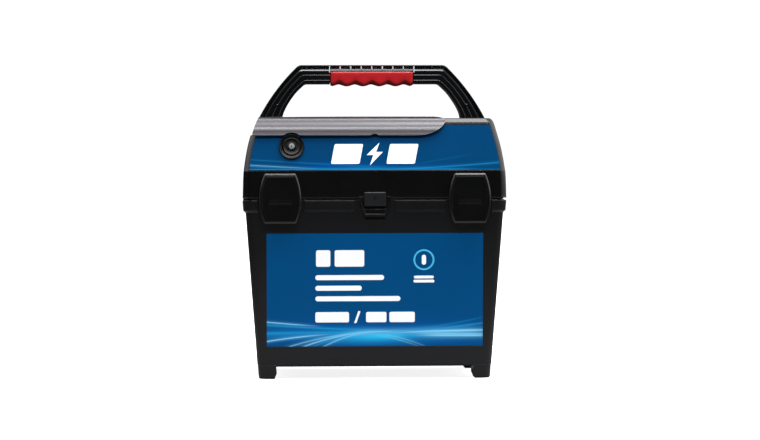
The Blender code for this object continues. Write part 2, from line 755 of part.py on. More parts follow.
def handle_edge(z, flat, bends):
    """Right half of one edge in (x, z), from the end of the flat down to the lid."""
    x, heading = flat, 0.0
    points = [(x, z)]
    for radius, degrees, steps in bends:
        centre_x = x - radius * math.sin(heading)
        centre_z = z - radius * math.cos(heading)
        for k in range(1, steps + 1):
            angle = heading + math.radians(degrees) * k / steps
            points.append((centre_x + radius * math.sin(angle),
                           centre_z + radius * math.cos(angle)))
        heading += math.radians(degrees)
        x, z = points[-1]
    base = LID_TOP_Z + GAP
    points.append((x + (z - base) / math.tan(heading), base))
    return points


def handle_section(outer, inner, waist=False):
    """Cross-section between matching edge points, with a stepped lip at the outer edge."""
    half = HANDLE_HALF_DEPTH
    body = half - WAIST_INSET if waist else half
    end = WAIST_END if waist else 1.0
    # (share of the way from the outer to the inner edge, half depth)
    front = ((0.0, half - 1.0), (0.065, half - 1.0), (0.08, half - 3.2), (0.19, half - 3.2),
             (0.27, body), (end, body))
    profile = [(share, -y) for share, y in front] + list(front[::-1])
    return [(outer[0] + (inner[0] - outer[0]) * share, HANDLE_Y + y,
             outer[1] + (inner[1] - outer[1]) * share) for share, y in profile]


def build_handle():
    top, low = HANDLE_TOP_Z, HANDLE_TOP_Z - HANDLE_THICK
    waist_x = GRIP_HALF + 0.4
    step_x = waist_x + 0.6
    right = [handle_section((waist_x, top), (waist_x, low), waist=True),
             handle_section((step_x, top), (step_x, low))]
    right += [handle_section(outer, inner) for outer, inner in
              zip(handle_edge(top, *HANDLE_OUTER), handle_edge(low, *HANDLE_INNER))]
    left = [[(-x, y, z) for x, y, z in ring] for ring in right[::-1]]
    handle = loft("handle_frame", left + right, BODY, smooth=30)
    cut(handle, "leg_pilots", *at_leg_screws(2.0, 275, 298))


def build_grip():
    """Soft grip wrapped round the underside of the handle, with finger scallops."""
    top = HANDLE_TOP_Z - 0.30 * HANDLE_THICK
    inner_z = HANDLE_TOP_Z - WAIST_END * HANDLE_THICK - GAP
    low = HANDLE_TOP_Z - HANDLE_THICK - 2.2
    outer_y = HANDLE_HALF_DEPTH + 1.3
    inner_y = HANDLE_HALF_DEPTH - WAIST_INSET + GAP
    rings = []
    for k in range(GRIP_STEPS + 1):
        x = -GRIP_HALF + 2 * GRIP_HALF * k / GRIP_STEPS
        wave = 0.5 - 0.5 * math.cos(2 * math.pi * (x + SCALLOPS_HALF) / SCALLOP_PITCH)
        z = low + (SCALLOP_DEPTH * (1.0 - wave) if abs(x) < SCALLOPS_HALF else 0.9)
        # (half depth, height) from the inner top edge round to the underside
        half = ((inner_y, top), (outer_y - 0.8, top), (outer_y, top - 1.0), (outer_y, z + 2.6),
                (outer_y - 2.2, z + 0.3), (6.0, z))
        profile = [(-y, height) for y, height in half] + list(half[::-1])
        profile += [(inner_y, inner_z), (-inner_y, inner_z)]
        rings.append([(x, HANDLE_Y + y, height) for y, height in profile])
    loft("handle_grip", rings, GRIP_RED, smooth=40)


# ---------------------------------------------------------------- screws and pins
def build_screw(name, seat, head_r, head_h, shaft_r, length):
    """Pan head screw driven upwards, its head below the seat point."""
    profile = [(0.7 * shaft_r, -length), (shaft_r, -length + 1.2), (shaft_r, 0.0),
               (head_r, 0.0), (head_r, 0.55 * head_h), (0.72 * head_r, head_h),
               (0.30 * head_r, head_h), (0.26 * head_r, 0.45 * head_h)]
    turned(name, profile, 12, STEEL, frame=axis_frame(seat, (0, 0, -1)), smooth=35)


def build_screws():
    for name, side in NAMED_SIDES:
        seat = (side * LEG_SCREW_X, HANDLE_Y, LID_TOP_Z - LID_TOP_WALL - GAP)
        build_screw(f"handle_screw_{name}", seat,
                    head_r=4.2, head_h=2.6, shaft_r=1.7, length=16.0)
    places = [(side_x, side_y) for side_y in (-1, 1) for side_x in (-1, 1)]
    for k, (side_x, side_y) in enumerate(places, start=1):
        seat = (side_x * PLATE_SCREW_X, side_y * PLATE_SCREW_Y, 196.8)
        build_screw(f"floor_screw_{k}", seat, head_r=3.3, head_h=1.9, shaft_r=1.6, length=13.0)


def build_pin(name, centre, radius, middle, half_length):
    """Steel pin along X."""
    emit(name, cylinder_data("x", centre, radius, middle - half_length, middle + half_length),
         STEEL, smooth=40)


def build_pins():
    for name, side in NAMED_SIDES:
        build_pin(f"latch_pin_{name}", (LATCH_PIN_Y, LATCH_PIN_Z), LATCH_PIN_R,
                  side * LATCH_X, 12.6)
        build_pin(f"hinge_pin_{name}", (HINGE_Y, HINGE_Z), HINGE_PIN_R, side * HINGE_X, 14.0)


# ---------------------------------------------------------------- latches
LATCH_WIDEST_Z = 194.6
LATCH_HALF_W = 22.4
LATCH_TAPER = 5.9             # half width lost between the widest height and the top
LATCH_DISH = 1.7              # depth of the hollow in the front face
LATCH_LOW_STEPS = (0.0, 1.3, 3.2, 4.6)      # ring heights above the lower end
LATCH_HIGH_STEPS = (4.2, 2.6, 1.0, 0.0)     # ring heights below the upper end


def latch_half(z):
    share = (z - LATCH_WIDEST_Z) / (LATCH_Z1 - LATCH_WIDEST_Z)
    return LATCH_HALF_W - LATCH_TAPER * share * share


def latch_levels():
    low = [LATCH_Z0 + step for step in LATCH_LOW_STEPS]
    high = [LATCH_Z1 - step for step in LATCH_HIGH_STEPS]
    return low + [low[-1] + (high[0] - low[-1]) * i / 8 for i in range(1, 8)] + high


def latch_ring(z, middle, is_end):
    trim = 1.2 if is_end else 0.0
    half = latch_half(min(max(z, LATCH_Z0 + 1.0), LATCH_Z1 - 0.6)) - trim
    back = LATCH_BACK_Y if z > 177.0 else LATCH_BACK_Y - 1.2
    front = LATCH_FRONT_Y + trim
    dish = LATCH_DISH if min(z - LATCH_Z0, LATCH_Z1 - z) >= 4.0 else 0.0
    # (inset from the side, y) from the back edge to the middle of the front
    profile = ((0.0, back), (0.0, front + 1.0), (1.0, front), (2.6, front), (4.4, front + dish))
    return ([(middle - half + inset, y, z) for inset, y in profile]
            + [(middle + half - inset, y, z) for inset, y in profile[::-1]])


def build_latch(name, side):
    middle = side * LATCH_X
    pin = (LATCH_PIN_Y, LATCH_PIN_Z)
    origin = (middle, *pin)
    levels = latch_levels()
    rings = [latch_ring(z, middle, i in (0, len(levels) - 1)) for i, z in enumerate(levels)]
    latch = loft(name, rings, LID, origin=origin, smooth=30)

    ears = [cylinder_data("x", pin, 3.2, *sorted((middle + end * 7.5, middle + end * 13.0)), 20)
            for end in SIDES]
    add(latch, name + "_ears", *ears)
    # nose that drops into the groove in the lid
    nose = [(LATCH_BACK_Y - 0.6, 214.0), (-99.4, 215.6), (-99.4, 218.4),
            (LATCH_BACK_Y - 0.6, 219.6)]
    add(latch, name + "_nose", prism_data(nose, middle - 11.5, middle + 11.5, "x"))
    # room for the box's lug between the ears
    pocket_half = LATCH_LUG_HALF_W + GAP
    cut(latch, name + "_pocket",
        block_data(middle - pocket_half, middle + pocket_half, LATCH_PIN_Y - 3.35, -90.0,
                   160.0, LATCH_PIN_Z + 3.4))
    cut(latch, name + "_bore", latch_pin_bore(side, 20.0))
    hang(latch, empty(name + "_pivot", origin))


def build_catch_slider():
    z0, z1 = CATCH_Z
    half = CATCH_HALF_W
    # (y, bevel) from the back face to the front face
    rings = [[(-half + bevel, y, z0 + bevel), (half - bevel, y, z0 + bevel),
              (half - bevel, y, z1 - bevel), (-half + bevel, y, z1 - bevel)]
             for y, bevel in ((-99.7, 0.0), (-101.6, 0.0), (-102.1, 0.5))]
    slider = loft("catch_slider", rings, LID, origin=(0, -100.9, (z0 + z1) / 2))
    # small arrow pressed into the face, pointing down, the way it slides
    arrow = [(-1.9, 197.2), (0.0, 191.0), (1.9, 197.2)]
    cut(slider, "slider_arrow", prism_data(arrow, -104.0, -101.5, "y"))


# ---------------------------------------------------------------- push switch
# Heights are along the switch's axis, from the face of the top label outwards.
BUTTON_R = 9.95
BUTTON_TRAVEL = 2.2
BARREL_END = -13.0
SPRING_R, SPRING_WIRE_R = 6.5, 0.45
SPRING_LOW, SPRING_HIGH = -12.5, -7.3 - BUTTON_TRAVEL
SPRING_TURNS = 2.5
SPRING_STEPS_PER_TURN = 10
SPRING_WIRE_SIDES = 5


def build_switch_housing():
    bore = BUTTON_R + 0.4
    tube("switch_bezel",
         [(BEZEL_R, 0.0), (BEZEL_R, 1.4), (BEZEL_R - 0.9, 2.3), (BUTTON_R + 1.3, 2.3),
          (bore, 1.6), (bore, BARREL_END), (BARREL_R, BARREL_END), (BARREL_R, 0.0)],
         28, BUTTON, frame=SWITCH_FRAME, smooth=30)
    tube("switch_nut",
         [(15.2, -5.0), (15.6, -5.6), (15.6, -9.0), (BARREL_R + GAP, -9.0),
          (BARREL_R + GAP, -5.0)],
         24, BUTTON, frame=SWITCH_FRAME, smooth=30)
    emit("switch_body",
         cylinder_data("z", (0, 0), BARREL_R - 0.4, -24.0, BARREL_END - 0.4, 24),
         BATTERY_CASE, frame=SWITCH_FRAME, smooth=30)


def build_power_button():
    turned("power_button",
           [(9.0, -6.4), (BUTTON_R, -6.4), (BUTTON_R, 1.6), (BUTTON_R - 0.7, 2.5),
            (4.3, 2.9), (4.1, 1.2)],
           28, BUTTON, frame=SWITCH_FRAME, smooth=30)
    turned("button_lens", [(3.6, 1.5), (3.75, 1.7), (3.75, 3.1), (2.6, 3.6), (0.9, 3.75)],
           20, CLEAR_LENS, frame=SWITCH_FRAME, smooth=40)


def build_switch_spring():
    steps = int(SPRING_TURNS * SPRING_STEPS_PER_TURN)
    rings = []
    for k in range(steps + 1):
        turn = 2 * math.pi * SPRING_TURNS * k / steps
        outward = Vector((math.cos(turn), math.sin(turn), 0))
        centre = Vector((SPRING_R * math.cos(turn), SPRING_R * math.sin(turn),
                         SPRING_LOW + (SPRING_HIGH - SPRING_LOW) * k / steps))
        rings.append([tuple(centre + outward * across + Vector((0, 0, height)))
                      for across, height, _ in circle(SPRING_WIRE_R, SPRING_WIRE_SIDES, 0)])
    loft("switch_spring", rings, STEEL, frame=SWITCH_FRAME, smooth=60)


def build_indicator_lens():
    """Small bevelled window under the notch in the hood."""
    rings = []
    for z, bevel_x, bevel_y in ((-6.0, 0.0, 0.0), (0.6, 0.0, 0.0), (1.3, 0.8, 0.7)):
        x, y = INDICATOR_HALF_W - bevel_x, INDICATOR_HALF_H - bevel_y
        rings.append([(-x, -y, z), (x, -y, z), (x, y, z), (-x, y, z)])
    loft("indicator_lens", rings, DARK_LENS, frame=panel_frame(0, INDICATOR_RISE))


# ---------------------------------------------------------------- terminals
KNOB_R, LOBE_HEIGHT, LOBES = 10.4, 1.1, 6
KNOB_BORE_R = 3.35
KNOB_SEGMENTS = 36


def lobe_ring(scale, z):
    points = []
    for i in range(KNOB_SEGMENTS):
        angle = 2 * math.pi * i / KNOB_SEGMENTS
        radius = (KNOB_R + LOBE_HEIGHT * math.cos(LOBES * angle)) * scale
        points.append((radius * math.cos(angle), radius * math.sin(angle), z))
    return points


def build_terminal(name, side, knob_mat):
    """Stud through the rear panel with a washer and a lobed knob; local Z points back."""
    frame = axis_frame((side * TERMINAL_X, REAR_PANEL_Y, TERMINAL_Z), (0, 1, 0))
    head = -LID_WALL - GAP
    turned(f"{name}_stud",
           [(6.2, head - 3.6), (6.2, head), (3.0, head), (3.0, 10.2), (2.5, 10.8)],
           16, STEEL, frame=frame, smooth=35)
    tube(f"{name}_washer", [(8.2, 0.3), (8.2, 1.5), (3.4, 1.5), (3.4, 0.3)],
         20, STEEL, frame=frame, smooth=35)
    rings = [circle(KNOB_BORE_R, KNOB_SEGMENTS, 1.8), lobe_ring(0.93, 1.8),
             lobe_ring(1.0, 2.8), lobe_ring(1.0, 8.2), lobe_ring(0.90, 9.9),
             circle(5.4, KNOB_SEGMENTS, 10.3), circle(KNOB_BORE_R, KNOB_SEGMENTS, 9.6)]
    loft(f"{name}_knob", rings, knob_mat, close=True, frame=frame, smooth=35)


# ---------------------------------------------------------------- electronics
CORE_X, CORE_Y = -34.0, 8.0             # middle of the transformer
CORE_HALF_W, CORE_HALF_D = 28.0, 14.0
CORE_Z = (208.3, 256.3)
CORE_WINDOW_X = (9.0, 19.0)             # from the core's middle
CORE_WINDOW_Z = (217.0, 247.0)
COIL_CLEARANCE = 0.5


def build_circuit_board():
    emit("circuit_board", block_data(-85.0, 85.0, -52.0, 60.0, 206.3, 207.9), BOARD)


def build_capacitor():
    emit("storage_capacitor", cylinder_data("x", (-20.0, 226.2), 17.8, 18.0, 74.0, 28),
         CAPACITOR, smooth=35)


def build_core():
    """Rectangular laminated frame with a window each side of the middle limb."""
    core = emit("transformer_core",
                block_data(CORE_X - CORE_HALF_W, CORE_X + CORE_HALF_W,
                           CORE_Y - CORE_HALF_D, CORE_Y + CORE_HALF_D, *CORE_Z), CORE)
    near, far = CORE_WINDOW_X
    cut(core, "core_windows", *[block_data(CORE_X + x0, CORE_X + x1, -20, 40, *CORE_WINDOW_Z)
                                for x0, x1 in ((-far, -near), (near, far))])


def build_coil():
    """Taped coil round the core's middle limb."""
    half_x = CORE_WINDOW_X[0] + COIL_CLEARANCE
    half_y = CORE_HALF_D + COIL_CLEARANCE
    # (height, growth) round the coil's section
    section = ((217.4, 0.0), (217.4, 5.0), (218.6, 6.8), (245.4, 6.8), (246.6, 5.0), (246.6, 0.0))
    rings = []
    for level, growth in section:
        ring = round_rect(level, half_x + growth, -half_y - growth, half_y + growth,
                          0.6 + growth, 3)
        rings.append([(x + CORE_X, y + CORE_Y, z) for x, y, z in ring])
    loft("transformer_coil", rings, COIL_TAPE, close=True, smooth=35)


# ---------------------------------------------------------------- battery
def build_battery():
    half_x, half_y = BATTERY_W / 2, BATTERY_D / 2
    bottom, top = BATTERY_Z, BATTERY_TOP_Z
    # (height, inset)
    levels = ((bottom, 1.5), (bottom + 1.5, 0.0), (top - 14.0, 0.0), (top - 13.0, 1.0),
              (top - 2.0, 1.4), (top, 3.0))
    rings = [round_rect(z, half_x - inset, -half_y + inset, half_y - inset, 5.0, 3)
             for z, inset in levels]
    loft("fence_battery", rings, BATTERY_CASE, smooth=30)


def build_battery_contact(polarity, colour, side, clip_mat):
    """Battery post and the lead clip round it."""
    frame = axis_frame((side * POST_X, POST_Y, BATTERY_TOP_Z), (0, 0, 1))
    turned(f"battery_post_{polarity}",
           [(5.5, GAP), (5.5, 2.2), (3.0, 2.2), (3.0, 7.6), (2.4, 8.2)],
           16, BRASS, frame=frame, smooth=35)
    tube(f"battery_clip_{colour}",
         [(7.0, 2.6), (7.4, 3.2), (7.4, 10.4), (6.4, 11.4), (3.4, 11.4), (3.4, 2.6)],
         20, clip_mat, frame=frame, smooth=35)


# ---------------------------------------------------------------- leads
LEAD_R = 1.6
LEAD_STEPS = 12
LEAD_SIDES = 6
# Bezier control points from a battery clip to the grommet
RED_PATH = ((POST_X + 1.0, POST_Y + 9.4, LEAD_Z), (POST_X + 4.0, POST_Y + 40.0, LEAD_Z),
            (GROMMET_X + 34.0, GROMMET_Y, LEAD_Z + 1.0),
            (GROMMET_X + 8.6, GROMMET_Y, LEAD_Z + 2.6))
BLACK_PATH = ((-POST_X + 2.0, POST_Y + 9.4, LEAD_Z), (-POST_X + 18.0, POST_Y + 46.0, LEAD_Z),
              (GROMMET_X - 60.0, GROMMET_Y, LEAD_Z + 1.0),
              (GROMMET_X - 8.6, GROMMET_Y, LEAD_Z + 2.6))


def bezier(path, t):
    start, leave, arrive, end = (Vector(point) for point in path)
    return (start * (1 - t) ** 3 + leave * (3 * (1 - t) ** 2 * t)
            + arrive * (3 * (1 - t) * t ** 2) + end * t ** 3)


def build_lead(name, path, mat):
    centres = [bezier(path, i / LEAD_STEPS) for i in range(LEAD_STEPS + 1)]
    rings = []
    for i, centre in enumerate(centres):
        along = (centres[min(i + 1, LEAD_STEPS)] - centres[max(i - 1, 0)]).normalized()
        across = along.cross(Vector((0, 0, 1))).normalized()
        third = along.cross(across).normalized()
        rings.append([tuple(centre + across * x + third * y)
                      for x, y, _ in circle(LEAD_R, LEAD_SIDES, 0)])
    loft(name, rings, mat, smooth=60)


def build_grommet():
    """Stepped plug in the floor plate, where the two leads end."""
    turned("lead_grommet",
           [(7.6, 186.6), (7.9, 187.4), (7.9, 196.0), (GROMMET_NECK_R, 196.8),
            (GROMMET_NECK_R, 201.5), (5.2, 202.4)],
           20, SEAL, frame=axis_frame((GROMMET_X, GROMMET_Y, 0), (0, 0, 1)), smooth=40)


# ---------------------------------------------------------------- joints
# pieces fixed to the lid, which swing with it
LID_PIECES = (
    "lid_shell", "top_label", "lid_floor_plate", "lid_seal", "hood", "handle_frame",
    "handle_grip", "handle_screw_left", "handle_screw_right", "floor_screw_1",
    "floor_screw_2", "floor_screw_3", "floor_screw_4", "switch_bezel", "switch_nut",
    "switch_body", "switch_spring", "indicator_lens", "fence_stud", "fence_washer",
    "earth_stud", "earth_washer", "circuit_board", "storage_capacitor",
    "transformer_core", "transformer_coil", "lead_grommet", "catch_slider",
)


def hang_moving_pieces():
    """Empties sit on the joints and carry the pieces that move there."""
    objects = bpy.data.objects
    lid_pivot = empty("lid_pivot", (0, HINGE_Y, HINGE_Z))
    for piece in LID_PIECES:
        hang(objects[piece], lid_pivot)
    button_guide = empty("button_guide", SWITCH_FRAME.translation)
    hang(button_guide, lid_pivot)
    for piece in ("power_button", "button_lens"):
        hang(objects[piece], button_guide)
    for name, side in (("fence", 1), ("earth", -1)):
        axis = empty(f"{name}_knob_axis", (side * TERMINAL_X, REAR_PANEL_Y, TERMINAL_Z))
        hang(axis, lid_pivot)
        hang(objects[f"{name}_knob"], axis)


# ---------------------------------------------------------------- assembly
build_battery_box()
build_front_label()
build_lid_shell()
build_top_label()
build_floor_plate()
build_lid_seal()
build_hood()
build_handle()
build_grip()
build_screws()
for side_name, side_sign in NAMED_SIDES:
    build_latch(f"latch_{side_name}", side_sign)
build_pins()
build_catch_slider()
build_switch_housing()
build_power_button()
build_switch_spring()
build_indicator_lens()
build_terminal("fence", 1, RED_KNOB)
build_terminal("earth", -1, GREEN_KNOB)
build_circuit_board()
build_capacitor()
build_core()
build_coil()
build_battery()
build_battery_contact("positive", "red", 1, RED_WIRE)
build_battery_contact("negative", "black", -1, BLACK_WIRE)
build_lead("lead_red", RED_PATH, RED_WIRE)
build_lead("lead_black", BLACK_PATH, BLACK_WIRE)
build_grommet()
hang_moving_pieces()
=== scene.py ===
"""The looks of the portable fence energizer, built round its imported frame.

Row frame: metres, +Z up, front towards -Y.  Lengths below are in millimetres
and are turned into metres when a mesh is made.
"""

import math

import bmesh
import bpy
from mathutils import Matrix, Vector


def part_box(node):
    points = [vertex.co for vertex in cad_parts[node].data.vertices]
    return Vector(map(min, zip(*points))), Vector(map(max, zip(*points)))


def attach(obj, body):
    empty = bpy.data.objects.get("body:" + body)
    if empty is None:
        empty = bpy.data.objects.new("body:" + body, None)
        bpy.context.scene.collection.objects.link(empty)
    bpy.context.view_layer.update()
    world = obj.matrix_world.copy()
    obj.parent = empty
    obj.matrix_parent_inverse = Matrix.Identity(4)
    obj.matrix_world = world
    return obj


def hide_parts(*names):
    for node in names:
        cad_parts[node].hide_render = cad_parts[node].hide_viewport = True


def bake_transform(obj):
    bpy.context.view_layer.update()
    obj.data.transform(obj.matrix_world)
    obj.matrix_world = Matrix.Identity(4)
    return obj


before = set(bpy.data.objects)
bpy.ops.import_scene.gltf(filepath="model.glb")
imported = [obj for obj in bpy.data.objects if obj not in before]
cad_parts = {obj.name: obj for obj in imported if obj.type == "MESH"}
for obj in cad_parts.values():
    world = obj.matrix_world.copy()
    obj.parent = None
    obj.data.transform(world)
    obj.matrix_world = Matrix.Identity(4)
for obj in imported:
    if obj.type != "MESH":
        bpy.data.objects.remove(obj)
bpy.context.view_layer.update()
MM = 0.001
scene = bpy.context.scene
ROOT = scene.collection


def cad(node):
    lo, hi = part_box(node)
    return [v * 1000.0 for v in lo], [v * 1000.0 for v in hi]


# ------------------------------------------------------------ sizes, from the frame
(BX_LO, BX_HI) = cad("battery_box")
(LD_LO, LD_HI) = cad("lid_shell")
(HD_LO, HD_HI) = cad("hood")
(HA_LO, HA_HI) = cad("handle_frame")
(GR_LO, GR_HI) = cad("handle_grip")
(LA_LO, LA_HI) = cad("latch_right")
(CA_LO, CA_HI) = cad("catch_slider")
(FL_LO, FL_HI) = cad("front_label")
(TL_LO, TL_HI) = cad("top_label")
(LP_LO, LP_HI) = cad("latch_pin_right")
(HP_LO, HP_HI) = cad("hinge_pin_right")
(BZ_LO, BZ_HI) = cad("switch_bezel")
(BA_LO, BA_HI) = cad("fence_battery")
(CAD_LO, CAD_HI) = cad("fence_knob")
(FP_LO, FP_HI) = cad("lid_floor_plate")


def mid(lo, hi, k):
    return (lo[k] + hi[k]) / 2.0


DRAFT = 0.0733
UNDERSIDE_Z = 13.1
FLOOR_Z = 16.6
RIM_Z = BX_HI[2] if BX_HI[2] < 194.5 else 193.6
BOX_W0, BOX_D0 = 125.7, 84.0
BOX_R, BOX_WALL = 9.0, 3.0
PAD_Z0, PAD_Z1, PAD_PROUD = 179.0, 192.7, 2.3
LID_Z, LID_TOP_Z = 195.2, LD_HI[2]
PANEL_Y, PANEL_Z, PANEL_TOP_Z, TILT = -98.9, 225.0, 274.4, math.radians(14.0)
LID_BAND_Z, LID_HALF_D, REAR_Y = 223.6, 100.3, 96.0
STEP_Z, CHAMFER_Z = 224.5, 276.6
HANDLE_Y = mid(HA_LO, HA_HI, 1)
HANDLE_TOP = HA_HI[2]
HANDLE_T, HANDLE_H = 20.9, 13.0
GRIP_HALF = GR_HI[0]
LATCH_X = mid(LA_LO, LA_HI, 0)
LATCH_Z0, LATCH_Z1 = LA_LO[2], LA_HI[2]
LATCH_FRONT, LATCH_BACK = LA_LO[1], -100.9
PIN_Y, PIN_Z = mid(LP_LO, LP_HI, 1), mid(LP_LO, LP_HI, 2)
HINGE_Y, HINGE_Z, HINGE_X = mid(HP_LO, HP_HI, 1), mid(HP_LO, HP_HI, 2), mid(HP_LO, HP_HI, 0)
SWITCH_X, SWITCH_V = -89.3, 26.0
BUTTON_R, BEZEL_R, BARREL_R = 9.95, 13.7, 11.6
CATCH_W = CA_HI[0]
CATCH_Z0, CATCH_Z1 = CA_LO[2], CA_HI[2]
LABEL_X = FL_HI[0]
LABEL_Z0, LABEL_Z1 = FL_LO[2], FL_HI[2]
TERMINAL_X, TERMINAL_Z = mid(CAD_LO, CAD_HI, 0), mid(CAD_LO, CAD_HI, 2)
POST_X, POST_Y = 62.0, 22.0
BATTERY_TOP = BA_HI[2]


# ------------------------------------------------------------ shader arithmetic
class E:
    """A value in a shader tree; arithmetic on it adds Math nodes."""

    def __init__(self, nt, s):
        self.nt, self.s = nt, s

    def m(self, op, *others, clamp=False):
        n = self.nt.nodes.new("ShaderNodeMath")
        n.operation = op
        n.use_clamp = clamp
        for i, v in enumerate((self,) + others):
            if isinstance(v, E):
                self.nt.links.new(v.s, n.inputs[i])
            else:
                n.inputs[i].default_value = v
        return E(self.nt, n.outputs[0])

    def __add__(self, o):
        return self.m("ADD", o)

    __radd__ = __add__

    def __mul__(self, o):
        return self.m("MULTIPLY", o)

    __rmul__ = __mul__

    def __sub__(self, o):
        return self.m("SUBTRACT", o)

    def __rsub__(self, o):
        return self.m("MULTIPLY", -1.0) + o

    def __truediv__(self, o):
        return self.m("DIVIDE", o)

    def bell(self):
        return (self * self * -1.0).m("EXPONENT")

    def ramp(self, a, b):
        """0 at a, 1 at b, smooth between."""
        n = self.nt.nodes.new("ShaderNodeMapRange")
        n.interpolation_type = "SMOOTHSTEP"
        n.inputs["From Min"].default_value = min(a, b)
        n.inputs["From Max"].default_value = max(a, b)
        n.inputs["To Min"].default_value = 0.0 if a < b else 1.0
        n.inputs["To Max"].default_value = 1.0 if a < b else 0.0
        self.nt.links.new(self.s, n.inputs["Value"])
        return E(self.nt, n.outputs["Result"])


class Shader:
    """A Principled material with shortcuts for procedural detail."""

    def __init__(self, name, rgb, rough, metal=0.0, spec=0.5):
        self.mat = bpy.data.materials.new(name)
        self.mat.use_nodes = True
        self.nt = self.mat.node_tree
        self.b = self.nt.nodes["Principled BSDF"]
        self.set("Base Color", (*rgb, 1.0))
        self.set("Roughness", rough)
        self.set("Metallic", metal)
        self.set("Specular IOR Level", spec)
        self.mat.diffuse_color = (*rgb, 1.0)
        self.rgb = rgb
        self.co = self.nt.nodes.new("ShaderNodeTexCoord").outputs["Object"]
        self._xyz = None
        self.normal = None

    def set(self, name, v):
        if isinstance(v, E):
            self.nt.links.new(v.s, self.b.inputs[name])
        elif hasattr(v, "is_output"):
            self.nt.links.new(v, self.b.inputs[name])
        else:
            self.b.inputs[name].default_value = v

    def xyz(self):
        if self._xyz is None:
            n = self.nt.nodes.new("ShaderNodeSeparateXYZ")
            self.nt.links.new(self.co, n.inputs[0])
            self._xyz = [E(self.nt, o) for o in n.outputs]
        return self._xyz

    def stretched(self, sx, sy, sz):
        n = self.nt.nodes.new("ShaderNodeMapping")
        n.inputs["Scale"].default_value = (sx, sy, sz)
        self.nt.links.new(self.co, n.inputs["Vector"])
        return n.outputs[0]

    def noise(self, scale, detail=3.0, rough=0.55, vector=None, distortion=0.0):
        n = self.nt.nodes.new("ShaderNodeTexNoise")
        n.inputs["Scale"].default_value = scale
        n.inputs["Detail"].default_value = detail
        n.inputs["Roughness"].default_value = rough
        n.inputs["Distortion"].default_value = distortion
        self.nt.links.new(vector or self.co, n.inputs["Vector"])
        return E(self.nt, n.outputs["Fac"])

    def cells(self, scale, vector=None, feature="F1"):
        n = self.nt.nodes.new("ShaderNodeTexVoronoi")
        n.feature = feature
        n.inputs["Scale"].default_value = scale
        self.nt.links.new(vector or self.co, n.inputs["Vector"])
        return E(self.nt, n.outputs["Distance"])

    def mix(self, fac, a, b):
        n = self.nt.nodes.new("ShaderNodeMix")
        n.data_type = "RGBA"
        n.clamp_factor = True
        for v, k in ((fac, 0), (a, 6), (b, 7)):
            if isinstance(v, E):
                self.nt.links.new(v.s, n.inputs[k])
            elif hasattr(v, "is_output"):
                self.nt.links.new(v, n.inputs[k])
            elif k == 0:
                n.inputs[k].default_value = v
            else:
                n.inputs[k].default_value = (*v, 1.0)
        return n.outputs[2]

    def rounded(self, radius_mm, samples=4):
        """Normals that read the edges as rounded off by this radius."""
        n = self.nt.nodes.new("ShaderNodeBevel")
        n.samples = samples
        n.inputs["Radius"].default_value = radius_mm * MM
        self.normal = n.outputs[0]
        return n.outputs[0]

    def edges(self, radius_mm=0.9, samples=4):
        """1 along sharp convex or concave edges, 0 on open faces."""
        bev = self.nt.nodes.new("ShaderNodeBevel")
        bev.samples = samples
        bev.inputs["Radius"].default_value = radius_mm * MM
        geo = self.nt.nodes.new("ShaderNodeNewGeometry")
        dot = self.nt.nodes.new("ShaderNodeVectorMath")
        dot.operation = "DOT_PRODUCT"
        self.nt.links.new(bev.outputs[0], dot.inputs[0])
        self.nt.links.new(geo.outputs["True Normal"], dot.inputs[1])
        return E(self.nt, dot.outputs["Value"]).ramp(0.995, 0.80)

    def bump(self, height, strength, distance_mm):
        n = self.nt.nodes.new("ShaderNodeBump")
        n.inputs["Strength"].default_value = strength
        n.inputs["Distance"].default_value = distance_mm * MM
        self.nt.links.new(height.s, n.inputs["Height"])
        if self.normal is not None:
            self.nt.links.new(self.normal, n.inputs["Normal"])
        self.normal = n.outputs[0]
        return n.outputs[0]

    def done(self):
        if self.normal is not None:
            self.nt.links.new(self.normal, self.b.inputs["Normal"])
        return self.mat


def tint(rgb, k, add=0.0):
    return tuple(min(1.0, c * k + add) for c in rgb)


def moulded(name, rgb, rough, spec=0.5, grain=0.10, edge=0.5, coarse=1400.0, round_mm=0.35, rub=(0.018, 0.42, 0.68)):
    """Injection-moulded plastic: spark-eroded grain, faint flow clouds, edges lightened as rubbing wear and, where set
    strong, as a painted highlight.
    """
    s = Shader(name, rgb, rough, spec=spec)
    cloud = s.noise(9.0, 4.0, 0.6)
    fleck = s.noise(650.0, 2.0, 0.6)
    col = s.mix(cloud.ramp(0.3, 0.7), tint(rgb, 0.86), tint(rgb, 1.14))
    col = s.mix(fleck.ramp(0.42, 0.75) * 0.35, col, tint(rgb, 1.6, 0.0004))
    s.rounded(round_mm)
    if edge:
        edge_wear_and_highlight = s.edges(0.8) * s.noise(140.0, 4.0, 0.7).ramp(rub[1], rub[2])
        col = s.mix(edge_wear_and_highlight * edge, col, tint(rgb, 2.0, rub[0]))
    s.set("Base Color", col)
    haze = s.noise(38.0, 5.0, 0.65, s.stretched(1.0, 1.0, 0.45))
    s.set("Roughness", (haze - 0.5) * 0.10 + (fleck - 0.5) * 0.06 + rough)
    s.bump(s.cells(coarse) * 0.6 + s.noise(coarse * 1.9, 2.0, 0.6), grain, 0.10)
    return s.done()


def metal(name, rgb, rough, brush=(1.0, 1.0, 0.06), patina=None):
    s = Shader(name, rgb, rough, metal=1.0)
    line = s.noise(900.0, 3.0, 0.6, s.stretched(*brush))
    spot = s.noise(160.0, 5.0, 0.7)
    col = s.mix(line.ramp(0.3, 0.7), tint(rgb, 0.82), tint(rgb, 1.08))
    if patina:
        col = s.mix(spot.ramp(0.55, 0.8) * 0.5, col, patina)
    s.rounded(0.2)
    s.set("Base Color", col)
    s.set("Roughness", (line - 0.5) * 0.16 + (spot - 0.5) * 0.12 + rough)
    s.bump(line, 0.10, 0.05)
    return s.done()
